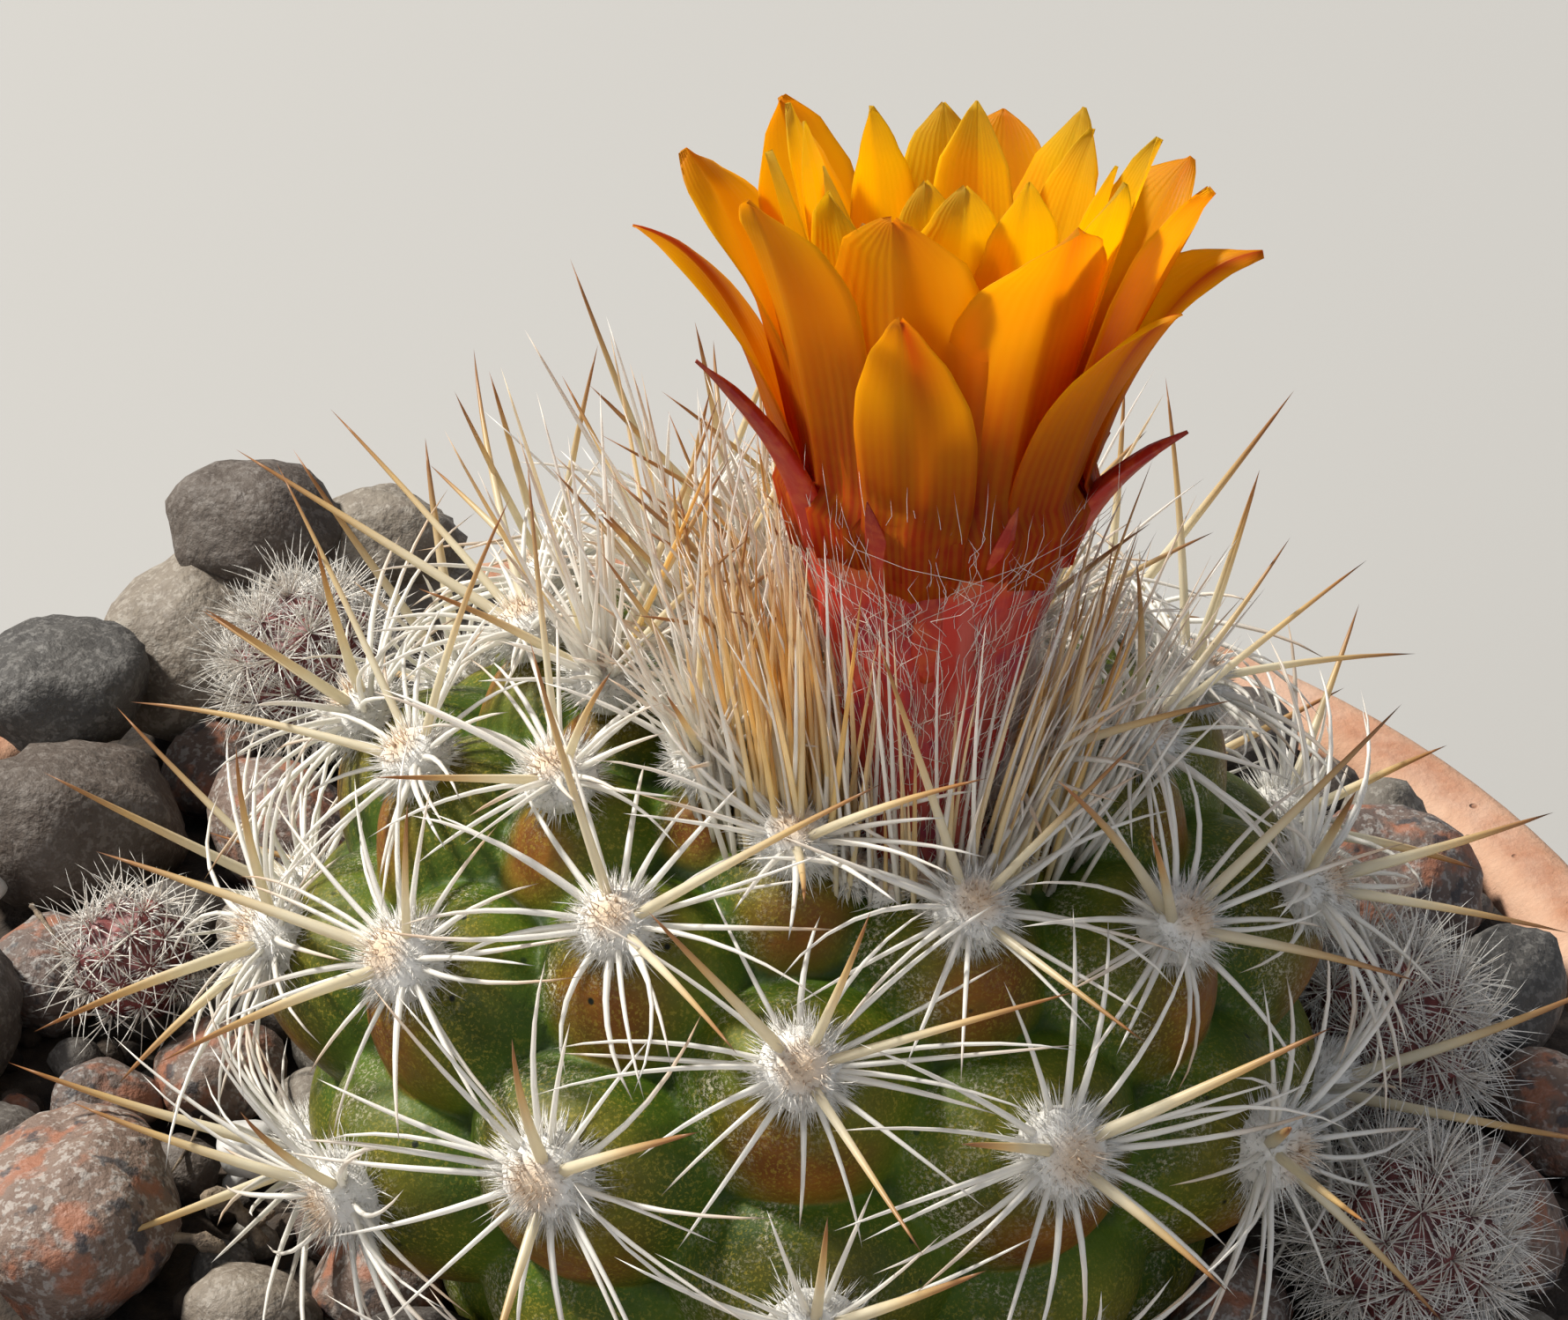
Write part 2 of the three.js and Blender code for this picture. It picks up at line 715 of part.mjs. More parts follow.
// The dressing: a bed of pebbles joined where they touch, cut clear of what stands in it
function gravel(obstacles, random) {
  const g = GRAVEL;
  const reach = innerRadius(g.bottom) - g.wallGap;
  const bed = turned([[0, g.bottom], [reach, g.bottom], [reach, g.slabTop], [0, g.slabTop]], POT.segments);
  const parts = [solid(bed)];
  for (const s of LARGE_STONES) parts.push(pebble(s.x, s.y, s.z, s.half, s.turn, random));
  for (let i = 0; i < g.fillers; i++) {
    const distance = (reach - g.largest + g.reachOverWall) * Math.sqrt((i + 0.5) / g.fillers);
    const place = around(distance, i * Math.PI * (3 - Math.sqrt(5)), 0);
    const half = g.smallest + (g.largest - g.smallest) * random();
    const z = g.slabTop + 0.5 + 0.9 * random();
    const turn = 2 * Math.PI * random();
    const underStem = Math.hypot(place.x - STEM.x, place.y - STEM.y) < g.bareUnderStem;
    const underStone = LARGE_STONES.some((s) => Math.hypot(place.x - s.x, place.y - s.y) < s.half * 0.8);
    if (!underStem && !underStone) parts.push(pebble(place.x, place.y, z, half, turn, random));
  }
  const top = 2 * POT.height;
  const inside = turned([[0, g.bottom], [reach, g.bottom], [reach, top], [0, top]], POT.segments);
  let dressing = Manifold.union(parts).intersect(solid(inside));
  for (const o of obstacles) dressing = dressing.subtract(o);
  return dressing;
}

// Assembly

function pottedPlant() {
  const group = new THREE.Group();
  const inFlower = (made) => made.transform(flowerPlace.elements);
  const potBody = pot();
  const heldHeads = OFFSETS.map((o) => offsetBody(o, GRAVEL.offsetClearance));
  const dressing = gravel([stemRoom(GRAVEL.stemClearance), ...heldHeads], seeded(11));
  const heads = [];
  const headDraws = seeded(5);
  for (const o of OFFSETS) {
    const others = OFFSETS.filter((other) => other !== o).map((other) => offsetBody(other, GAP));
    heads.push(offset(o, [dressing, potBody, stemRoom(GAP), ...others, ...heads], headDraws));
  }

  group.add(mesh('pot', potBody, COLOURS.clay, 0.85));
  group.add(mesh('soil', soil(), COLOURS.soil, 0.95));
  group.add(mesh('gravel', dressing, COLOURS.stone, 0.8));
  group.add(mesh('stem', stem([dressing, potBody, ...heads], seeded(7)), COLOURS.stem, 0.55));
  OFFSETS.forEach((o, i) => group.add(mesh(o.name, heads[i], COLOURS.offset, 0.6)));

  const petalDraws = seeded(3);
  const outer = tepals(OUTER_ROWS, OUTER_COLLAR, petalDraws);
  const inner = tepals(INNER_ROWS, INNER_COLLAR, petalDraws);
  group.add(mesh('flower_tube', inFlower(flowerTube()), COLOURS.tube, 0.5));
  group.add(mesh('outer_tepals', inFlower(outer), COLOURS.orange, 0.45));
  group.add(mesh('inner_tepals', inFlower(inner), COLOURS.yellow, 0.45));
  group.add(mesh('stamens', inFlower(stamens(seeded(9))), COLOURS.pollen, 0.6));
  group.add(mesh('style', inFlower(style()), COLOURS.cream, 0.5));
  return group;
}

export default pottedPlant();
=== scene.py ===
"""A small globular cactus in flower, in a clay pot dressed with pebbles. +Z up, the plant's
front towards -Y. Lengths here are in millimetres, and become metres as a mesh is made."""

import math

import bpy
import numpy as np
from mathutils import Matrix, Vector, noise


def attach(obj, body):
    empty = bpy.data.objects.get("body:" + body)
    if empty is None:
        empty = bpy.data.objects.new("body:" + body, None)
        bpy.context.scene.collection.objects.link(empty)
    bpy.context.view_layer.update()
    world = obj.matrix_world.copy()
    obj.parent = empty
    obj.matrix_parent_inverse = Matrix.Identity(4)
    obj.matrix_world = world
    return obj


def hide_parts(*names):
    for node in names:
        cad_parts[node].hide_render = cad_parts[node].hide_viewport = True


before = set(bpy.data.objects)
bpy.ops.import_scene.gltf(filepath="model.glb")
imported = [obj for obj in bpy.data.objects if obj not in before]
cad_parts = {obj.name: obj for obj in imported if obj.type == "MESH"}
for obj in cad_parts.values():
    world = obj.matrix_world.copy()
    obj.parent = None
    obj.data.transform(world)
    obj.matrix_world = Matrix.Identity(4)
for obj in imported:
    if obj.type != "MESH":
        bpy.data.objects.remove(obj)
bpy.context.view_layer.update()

MM = 0.001
TAU = 2 * math.pi
GOLDEN = math.pi * (3 - math.sqrt(5))

POT = {
    "height": 73, "rim_radius": 40.5, "rim_inner": 37, "rim_band": 15, "rim_step": 2.4,
    "foot_radius": 27, "wall": 3.6, "floor": 6, "drain_radius": 4,
}
SOIL_TOP, SOIL_RADIUS, SOIL_FOOT_RADIUS = 69.8, 36.2, 22.9
# Bed of crumbs under the pebbles: radius, height and underside, and how far out stones lie
BED_RADIUS, BED_TOP, BED_FOOT, STREWN_RADIUS = 36.1, 72.5, 70.2, 35.0
# Pebbles and crumbs lie no nearer to the stem's axis than this
PEBBLE_CLEAR, CRUMB_CLEAR = 14.2, 14

STEM = np.array([5.0, -5.0, 83.5])
STEM_RADIUS, SQUASH, CROWN_DIP, CROWN_WIDTH = 19.4, 0.77, 2.2, 5.5
TUBERCLE, STEM_BOTTOM = 2.7, 72.9
RIBS, RIB_DRIFT = 13, 1.3
FIRST_AREOLE, LAST_AREOLE, BURIED = -33, 24, 10
# An areole's angle from the crown, in degrees: of areole 0, its step and the step's growth
AREOLE_ANGLE, AREOLE_STEP, STEP_GROWTH = 55.2, 2.33, 0.0226
FULL_SPACING = 9

FLOWER_FOOT_ANGLE, FLOWER_FOOT_TURN, FLOWER_INSET = 26, 31, 2.2
SIDE_LEAN, BACK_LEAN = 2.5, 11
TUBE_FOOT, TUBE_RIM, TUBE_HEIGHT, CUP_FLOOR = 2.25, 5.1, 13.4, 7.8

# Central spines of the areoles that face the front, as compass turn, rise and length
FRONT_CENTRALS = {
    -11: [(-148, 49, 12), (-112, 42, 12), (-175, 45, 13)],
    -5: [(-80, 43, 12), (-148, 39, 11), (7, 42, 12)],
    1: [(-108, 33, 12), (-176, 58, 10), (20, 46, 9)],
    8: [(85, 48, 13), (19, 29, 11), (160, 40, 8)],
    -12: [(78, 57, 12), (-40, 55, 11), (165, 50, 9)],
    -6: [(64, 39, 14), (116, 38, 12), (-30, 50, 10)],
    0: [(151, 49, 10), (76, 44, 12), (-49, 45, 9), (30, 51, 8)],
    -7: [(72, 60, 9), (-22, 48, 11), (170, 35, 9)],
    -1: [(168, 58, 9), (-59, 48, 12), (-40, 36, 12), (80, 45, 11)],
    6: [(151, 58, 8), (64, 44, 11), (-58, 47, 11)],
    5: [(132, 44, 11), (164, 49, 10), (-39, 32, 11)],
    -8: [(124, 41, 11), (106, 50, 9), (-46, 53, 12)],
    11: [(-38, 41, 9), (165, 55, 12), (60, 45, 10)],
    -13: [(121, 55, 11), (-20, 50, 10), (175, 45, 8)],
    7: [(53, 40, 11), (11, 52, 10), (170, 45, 8)],
    13: [(4, 33, 11), (35, 35, 11), (-60, 45, 10)],
    14: [(21, 36, 11), (-70, 45, 10)],
    2: [(54, 46, 10), (18, 47, 9), (-140, 45, 10)],
    12: [(-59, 45, 11), (-39, 30, 10), (170, 50, 9)],
}

# Compass turns of the radial spines: most of them stand to the sides
RADIAL_TURNS = [-12, 14, 36, 56, 70, 82, 94, 106, 124, 148, 174,
                -36, -56, -70, -82, -94, -106, -124, -150]

OUTER_ROWS = [
    dict(foot=4.7, root=14.2, reach=10.3, tip=21.8, half=2.2, out=0.3, up=0.92,
         turns=[-92, -11, 48, 97, 150, -148]),
    dict(foot=4.4, root=14.2, reach=8.7, tip=24.2, half=2.5, out=0.36, up=0.68,
         turns=[-99, -56, -16, 25, 70, 110, 160, -132]),
]
INNER_ROWS = [
    dict(foot=3.4, root=15.5, reach=6.6, tip=25, half=1.8, out=0.42, up=0.55,
         turns=[-124, -80, -38, 4, 48, 96, 136, 176]),
    dict(foot=3.1, root=15.5, reach=5.2, tip=24.8, half=1.6, out=0.45, up=0.52,
         turns=[-102, -58, -12, 32, 78, 122, 162, -146]),
]
SCALE_WHORLS = [
    dict(root=12.8, length=7, lean=36, turns=[-66]),
    dict(root=12, length=5.2, lean=42, turns=[80, 132, -148, 176]),
    dict(root=11, length=3.9, lean=25, turns=[-25, 23, 106, -108]),
    dict(root=8.6, length=3.2, lean=16, turns=[-4, 56, -84, 150, -160]),
]

OFFSETS = {
    "offset_left_front": (-20.8, 5.1, 76.6, 2.5),
    "offset_left_back": (-15.1, 22.6, 78.4, 3.3),
    "offset_right_back": (27, -1.6, 78, 3.6),
    "offset_right_front": (27, -11.8, 76.6, 3.5),
}

LARGE_STONES = [
    (-12, 30.5, 75, 4.9, 0.2), (-12.8, 31, 79, 3.4, 2.8), (-20, 28, 76, 4.8, 0.9),
    (-18, 30, 80.2, 3.6, 0.1), (-25.5, 22.5, 77.6, 3.8, 2.2), (-24.5, 15.5, 75.6, 4.6, 0.3),
    (-21.8, -8.5, 75.4, 5, 1.6), (-29, 3, 75, 4.2, 1.1), (28.4, 10.4, 75.8, 3.9, 2.4),
    (32, 4, 75.6, 3.2, 0.9),
]

QUARTZ = [(-15.4, -4.3, 74.9, 1.55), (-27.6, 10.2, 76.2, 1.3), (18.5, -21, 74.6, 1.4)]


# Meshes


class Shape:
    """Points, faces and values of one piece. tint holds three values a point, and lies
    holds its place on the piece's UV map."""

    def __init__(self):
        self.points, self.quads, self.tris, self.tints, self.lies = [], [], [], [], []
        self.count = 0

    def add(self, points, quads=(), tris=(), tint=None, lies=None):
        points = np.asarray(points, float).reshape(-1, 3)
        number = len(points)
        self.points.append(points)
        if len(quads):
            self.quads.append(np.asarray(quads).reshape(-1, 4) + self.count)
        if len(tris):
            self.tris.append(np.asarray(tris).reshape(-1, 3) + self.count)
        self.tints.append(np.zeros((number, 3)) if tint is None else np.asarray(tint).reshape(-1, 3))
        self.lies.append(np.zeros((number, 2)) if lies is None else np.asarray(lies).reshape(-1, 2))
        self.count += number

    def mesh(self, name):
        points = np.concatenate(self.points) * MM
        quads = np.concatenate(self.quads) if self.quads else np.zeros((0, 4), int)
        tris = np.concatenate(self.tris) if self.tris else np.zeros((0, 3), int)
        corners = np.concatenate([quads.ravel(), tris.ravel()]).astype(np.int32)
        totals = np.concatenate([np.full(len(quads), 4), np.full(len(tris), 3)]).astype(np.int32)
        starts = np.concatenate([[0], np.cumsum(totals)[:-1]]).astype(np.int32)
        made = bpy.data.meshes.new(name)
        made.vertices.add(len(points))
        made.vertices.foreach_set("co", points.astype(np.float32).ravel())
        made.loops.add(len(corners))
        made.loops.foreach_set("vertex_index", corners)
        made.polygons.add(len(totals))
        made.polygons.foreach_set("loop_start", starts)
        made.polygons.foreach_set("loop_total", totals)
        made.polygons.foreach_set("use_smooth", np.ones(len(totals), bool))
        tint = made.attributes.new("tint", "FLOAT_COLOR", "POINT")
        values = np.concatenate(self.tints)
        values = np.concatenate([values, np.ones((len(values), 1))], 1)
        tint.data.foreach_set("color", values.astype(np.float32).ravel())
        lies = np.concatenate(self.lies)
        if lies.any():
            layer = made.uv_layers.new(name="OFBake")
            layer.uv.foreach_set("vector", lies[corners].astype(np.float32).ravel())
        made.update(calc_edges=True)
        made.validate()
        return made


def piece(name, shape, material, slot, *replaced):
    """A shown piece of the plant, riding on the row's one body"""
    made = bpy.data.objects.new(name, shape.mesh(name))
    made.data.materials.append(material)
    bpy.context.scene.collection.objects.link(made)
    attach(made, "root")
    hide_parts(*replaced)
    return made


def unit(vectors):
    return vectors / np.maximum(np.linalg.norm(vectors, axis=-1, keepdims=True), 1e-12)


def cells(number):
    """Corner and width of one cell a strand on the map"""
    across = math.ceil(math.sqrt(number))
    index = np.arange(number)
    return np.stack([index % across, index // across], -1) / across, 1 / across


def strands(shape, paths, radii, sides, tints):
    """Closed tubes that taper to a point. paths is strands by points by 3, radii strands by
    points, and tints gives each strand two values beside the share along it."""
    number, steps = paths.shape[:2]
    along = unit(np.gradient(paths, axis=1))
    spare = np.where(np.abs(along[:, :1, 2:]) < 0.8, [[[0.0, 0.0, 1.0]]], [[[1.0, 0.0, 0.0]]])
    side = unit(np.cross(along, np.broadcast_to(spare, along.shape)))
    over = np.cross(side, along)
    round_ = TAU * np.arange(sides) / sides
    ring = np.cos(round_)[:, None] * side[:, :-1, None] + np.sin(round_)[:, None] * over[:, :-1, None]
    rings = paths[:, :-1, None] + radii[:, :-1, None, None] * ring
    share = np.linspace(0, 1, steps)
    each = (steps - 1) * sides + 1
    points = np.concatenate([rings.reshape(number, -1, 3), paths[:, -1:]], 1)
    s, k = np.meshgrid(np.arange(steps - 2), np.arange(sides), indexing="ij")
    n = (k + 1) % sides
    quads = np.stack([s * sides + k, s * sides + n, (s + 1) * sides + n, (s + 1) * sides + k], -1)
    k = np.arange(sides)
    last = (steps - 2) * sides
    tip = np.stack([last + k, last + (k + 1) % sides, np.full(sides, each - 1)], -1)
    cap = np.stack([np.zeros(sides - 2, int), np.arange(2, sides), np.arange(1, sides - 1)], -1)
    shift = (np.arange(number) * each)[:, None, None]
    quads = quads.reshape(1, (steps - 2) * sides, 4) + shift
    tris = np.concatenate([tip, cap])[None] + shift
    height = np.concatenate([np.repeat(share[:-1], sides), [1.0]])
    tint = np.empty((number, each, 3))
    tint[..., 0] = height
    tint[..., 1:] = np.asarray(tints)[:, None, :]
    corner, width = cells(number)
    turn = np.concatenate([np.tile((np.arange(sides) + 0.5) / sides, steps - 1), [0.5]])
    place = np.stack([0.1 + 0.8 * turn, 0.04 + 0.92 * height], -1)
    lies = corner[:, None] + width * place[None]
    shape.add(points, quads, tris, tint, lies)


def grid(shape, points, tint=None, lies=None, wrap=False):
    """A sheet of quads over rows by columns of points"""
    rows, columns = points.shape[:2]
    r, c = np.meshgrid(np.arange(rows - 1), np.arange(columns - (0 if wrap else 1)), indexing="ij")
    n = (c + 1) % columns
    quads = np.stack([r * columns + c, r * columns + n, (r + 1) * columns + n, (r + 1) * columns + c], -1)
    shape.add(points, quads, (), tint, lies)


def ball_points(rows, columns, pole=0.0):
    """A unit ball's points from the top down, short of its poles by an angle"""
    down = np.linspace(pole, math.pi - pole, rows)[:, None]
    turn = (TAU * np.arange(columns) / columns)[None]
    x, y = np.sin(down) * np.cos(turn), np.sin(down) * np.sin(turn)
    return np.stack(np.broadcast_arrays(x, y, np.cos(down)), -1)


def fan(shape, point, start, columns, forward, tint=None, lies=None):
    """Closes the ring of points that begins at start, with triangles to one more point"""
    shape.add([point], (), (), tint, lies)
    here = start + np.arange(columns)
    after = start + (np.arange(columns) + 1) % columns
    pair = (here, after) if forward else (after, here)
    shape.tris.append(np.stack([np.full(columns, shape.count - 1), *pair], -1))


def turned(axis, angle):
    """The matrix of a turn about one axis"""
    cos, sin = math.cos(angle), math.sin(angle)
    return np.array({
        "x": [[1, 0, 0], [0, cos, -sin], [0, sin, cos]],
        "y": [[cos, 0, sin], [0, 1, 0], [-sin, 0, cos]],
        "z": [[cos, -sin, 0], [sin, cos, 0], [0, 0, 1]],
    }[axis])


def around(distance, turn, z):
    """A point at a distance from +Z and a turn from the front towards +X"""
    return np.stack(np.broadcast_arrays(distance * np.sin(turn), -distance * np.cos(turn), z), -1)


# Materials


class Nodes:
    """A material's node tree, with its surface shader"""

    def __init__(self, name, roughness=0.6, **values):
        self.material = bpy.data.materials.new(name)
        self.material.use_nodes = True
        self.tree = self.material.node_tree
        self.shader = self.tree.nodes["Principled BSDF"]
        self.shader.inputs["Roughness"].default_value = roughness
        for socket, value in values.items():
            self.shader.inputs[socket.replace("_", " ")].default_value = value

    def put(self, kind, output=0, settings=None, **inputs):
        made = self.tree.nodes.new(kind)
        for key, value in (settings or {}).items():
            setattr(made, key, value)
        for key, value in inputs.items():
            socket = made.inputs[int(key[1:])] if key[0] == "i" and key[1:].isdigit() else made.inputs[key]
            if isinstance(value, bpy.types.NodeSocket):
                self.tree.links.new(value, socket)
            else:
                socket.default_value = value
        return made.outputs[output]

    def tint(self):
        colour = self.put("ShaderNodeAttribute", settings={"attribute_name": "tint"})
        split = self.tree.nodes.new("ShaderNodeSeparateColor")
        self.tree.links.new(colour, split.inputs[0])
        return split.outputs

    def place(self):
        return self.put("ShaderNodeTexCoord", "Object")

    def noise(self, size, detail=3, roughness=0.55):
        """Noise with features of a size in millimetres, from 0 to 1"""
        return self.put("ShaderNodeTexNoise", "Fac", Vector=self.place(), Scale=1 / (size * MM),
                        Detail=detail, Roughness=roughness)

    def dots(self, size):
        """Distance from the middle of scattered cells, of a size in millimetres"""
        return self.put("ShaderNodeTexVoronoi", "Distance", Vector=self.place(), Scale=1 / (size * MM))

    def between(self, value, low, high, start=0.0, end=1.0):
        return self.put("ShaderNodeMapRange", i0=value, i1=low, i2=high, i3=start, i4=end)

    def times(self, a, b):
        return self.put("ShaderNodeMath", settings={"operation": "MULTIPLY"}, i0=a, i1=b)

    def plus(self, a, b):
        return self.put("ShaderNodeMath", settings={"operation": "ADD"}, i0=a, i1=b)

    def mix(self, share, a, b, kind="MIX"):
        made = self.tree.nodes.new("ShaderNodeMix")
        made.data_type, made.blend_type = "RGBA", kind
        for socket, value in ((made.inputs[0], share), (made.inputs[6], a), (made.inputs[7], b)):
            if isinstance(value, bpy.types.NodeSocket):
                self.tree.links.new(value, socket)
            else:
                socket.default_value = (*value, 1) if isinstance(value, tuple) else value
        return made.outputs[2]

    def ramp(self, value, *stops):
        made = self.tree.nodes.new("ShaderNodeValToRGB")
        self.tree.links.new(value, made.inputs[0])
        ramp = made.color_ramp
        while len(ramp.elements) < len(stops):
            ramp.elements.new(0.5)
        for element, (at, colour) in zip(ramp.elements, stops):
            element.position = at
            element.color = (*colour, 1)
        return made.outputs[0]

    def colour(self, value):
        self.tree.links.new(value, self.shader.inputs["Base Color"])
        return value

    def rough(self, value):
        self.tree.links.new(value, self.shader.inputs["Roughness"])

    def bump(self, height, depth, strength=1.0):
        """Relief of a depth in millimetres"""
        normal = self.put("ShaderNodeBump", Height=height, Strength=strength, Distance=depth * MM)
        self.tree.links.new(normal, self.shader.inputs["Normal"])

    def glow(self, colour, share):
        """Lets light from behind through, in a colour"""
        out = self.tree.nodes["Material Output"]
        through = self.tree.nodes.new("ShaderNodeBsdfTranslucent")
        self.tree.links.new(colour, through.inputs["Color"])
        both = self.tree.nodes.new("ShaderNodeMixShader")
        both.inputs[0].default_value = share
        self.tree.links.new(self.shader.outputs[0], both.inputs[1])
        self.tree.links.new(through.outputs[0], both.inputs[2])
        self.tree.links.new(both.outputs[0], out.inputs["Surface"])


def skin_material():
    """Waxy green, with orange-brown chins, pale scurf, fine pale dots and black specks"""
    m = Nodes("cactus_skin", 0.45, Specular_IOR_Level=0.2)
    furrow, chin, scurf = m.tint()[:3]
    green = m.ramp(m.noise(5.5, 4), (0.3, (0.018, 0.034, 0.002)), (0.5, (0.045, 0.072, 0.003)),
                   (0.72, (0.115, 0.14, 0.008)))
    brown = m.ramp(m.noise(1.6, 4), (0.3, (0.12, 0.034, 0.004)), (0.7, (0.22, 0.088, 0.008)))
    olive = m.times(m.between(furrow, 0.45, 0.95), m.between(m.noise(2.6, 3), 0.36, 0.62, 0.15, 0.85))
    green = m.mix(olive, green, (0.135, 0.1, 0.009))
    patchy = m.times(chin, m.between(m.noise(4.2, 3), 0.28, 0.5))
    base = m.mix(patchy, green, brown)
    fine = m.between(m.noise(0.13, 2, 0.7), 0.53, 0.63)
    dots = m.times(fine, m.between(m.noise(2.5, 2), 0.35, 0.6, 0.12, 0.5))
    base = m.mix(dots, base, (0.34, 0.27, 0.035))
    coarse = m.between(m.noise(0.15, 3, 0.8), 0.5, 0.62)
    grains = m.times(scurf, m.times(coarse, m.between(m.noise(1.4, 3), 0.42, 0.6)))
    base = m.mix(m.times(grains, 0.85), base, (0.62, 0.57, 0.42))
    specks = m.times(m.between(m.dots(1.5), 0.11, 0.07), m.between(m.noise(4, 1), 0.48, 0.54))
    base = m.mix(specks, base, (0.006, 0.008, 0.004))
    fresh = m.mix(m.between(furrow, 0.1, 0.55, 0.55, 0.0), base, (0.05, 0.11, 0.005))
    # Painted shade: the skin turns a deep dark green at the bottom of the furrows between the tubercles
    m.colour(m.mix(m.between(furrow, 0.0, 0.14, 0.8, 0.0), fresh, (0.012, 0.03, 0.003)))
    m.rough(m.between(m.noise(0.4, 2), 0.3, 0.7, 0.42, 0.66))
    m.bump(m.plus(m.noise(0.3, 3, 0.6), grains), 0.07, 0.6)
    return m.material


def wool_material():
    """Matt white felt, tan in the middle of a tuft"""
    m = Nodes("wool", 0.95)
    along, stray, shade = m.tint()[:3]
    tan = m.ramp(along, (0.0, (0.6, 0.36, 0.18)), (0.4, (0.8, 0.61, 0.42)), (0.85, (0.92, 0.86, 0.76)))
    white = m.mix(stray, (0.86, 0.83, 0.77), (0.97, 0.96, 0.93))
    colour = m.colour(m.mix(shade, white, tan))
    m.bump(m.noise(0.16, 3, 0.7), 0.12, 0.8)
    m.glow(colour, 0.22)
    return m.material


def spine_material(name, *stops, warm=(0.6, 0.34, 0.12), share=0.3, pale=0.12, faded=(0.5, 0.46, 0.4)):
    """Smooth and a little translucent, coloured from root to tip, some spines faded"""
    m = Nodes(name, 0.38)
    along, stray, warmth = m.tint()[:3]
    base = m.ramp(along, *stops)
    tips = m.times(warmth, m.between(along, 0.55, 1.0))
    base = m.mix(tips, base, warm)
    streaks = m.between(m.noise(0.5, 2), 0.35, 0.7, 0.0, 0.18)
    base = m.mix(streaks, base, m.mix(0.5, base, (0.55, 0.42, 0.25)))
    base = m.colour(m.mix(m.times(stray, pale), base, faded))
    m.glow(base, share)
    return m.material


def tepal_material(name, foot, middle, tip, edge):
    """Silky and translucent, with fine veins along the blade and a red midrib where tinted"""
    m = Nodes(name, 0.5, Specular_IOR_Level=0.25)
    along, across, red = m.tint()[:3]
    flush = tuple(0.55 * a + 0.45 * b for a, b in zip(foot, middle))
    blade = m.ramp(along, (0.13, foot), (0.34, flush), (0.55, middle), (0.8, middle), (0.97, tip))
    veins = m.put("ShaderNodeTexWave", "Fac", settings={"wave_type": "BANDS", "bands_direction": "X"},
                  Vector=m.put("ShaderNodeCombineXYZ", X=across, Y=m.times(along, 0.05)), Scale=4.2,
                  Distortion=0.6, Detail=2.0)
    blade = m.mix(m.times(m.between(veins, 0.2, 0.8), 0.16), blade, edge)
    mottle = m.times(m.between(m.noise(1.2, 3), 0.4, 0.7), 0.22)
    blade = m.mix(mottle, blade, middle)
    m.colour(m.mix(red, blade, (0.5, 0.03, 0.012)))
    m.bump(veins, 0.04, 0.35)
    lit = m.mix(m.between(along, 0.15, 0.5, 0.04, 0.42), blade, (1.0, 0.7, 0.02))
    m.glow(m.mix(red, lit, (0.6, 0.06, 0.01)), 0.75)
    return m.material


def tube_material():
    """Red with pink streaks and purple patches, and orange at the rim"""
    m = Nodes("flower_tube", 0.5)
    along = m.tint()[0]
    base = m.ramp(along, (0.0, (0.4, 0.09, 0.06)), (0.3, (0.5, 0.035, 0.025)), (0.78, (0.62, 0.03, 0.012)),
                  (0.95, (0.84, 0.26, 0.005)))
    streaks = m.put("ShaderNodeTexNoise", "Fac", Scale=1 / (0.7 * MM), Detail=3.0, Roughness=0.6,
                    Vector=m.put("ShaderNodeMapping", Vector=m.place(), Scale=(1.0, 1.0, 0.12)))
    pink = m.times(m.between(streaks, 0.44, 0.6, 0.0, 0.5), m.between(along, 0.7, 0.9, 1.0, 0.0))
    base = m.mix(pink, base, (0.6, 0.16, 0.12))
    purple = m.times(m.between(m.noise(1.5, 3), 0.5, 0.62), m.between(streaks, 0.6, 0.4, 0.0, 0.75))
    base = m.mix(purple, base, (0.22, 0.015, 0.07))
    m.colour(base)
    m.bump(streaks, 0.12, 0.7)
    m.glow(base, 0.25)
    return m.material


def scale_material():
    """Fleshy red, darker towards the tip"""
    m = Nodes("tube_scale", 0.42)
    base = m.ramp(m.tint()[0], (0.0, (0.6, 0.04, 0.015)), (0.4, (0.55, 0.03, 0.01)),
                  (1.0, (0.24, 0.006, 0.008)))
    base = m.mix(m.between(m.noise(0.6, 3), 0.45, 0.65, 0.0, 0.4), base, (0.75, 0.16, 0.03))
    m.colour(base)
    m.bump(m.noise(0.35, 3), 0.05, 0.6)
    m.glow(base, 0.25)
    return m.material


def plain_material(name, dark, light, size, roughness=0.6, depth=0.05, share=0.0):
    """Two close colours mottled at a size, with a fine relief"""
    m = Nodes(name, roughness)
    base = m.colour(m.ramp(m.noise(size, 4), (0.35, dark), (0.68, light)))
    m.bump(m.noise(size / 3, 3), depth, 0.6)
    if share:
        m.glow(base, share)
    return m.material


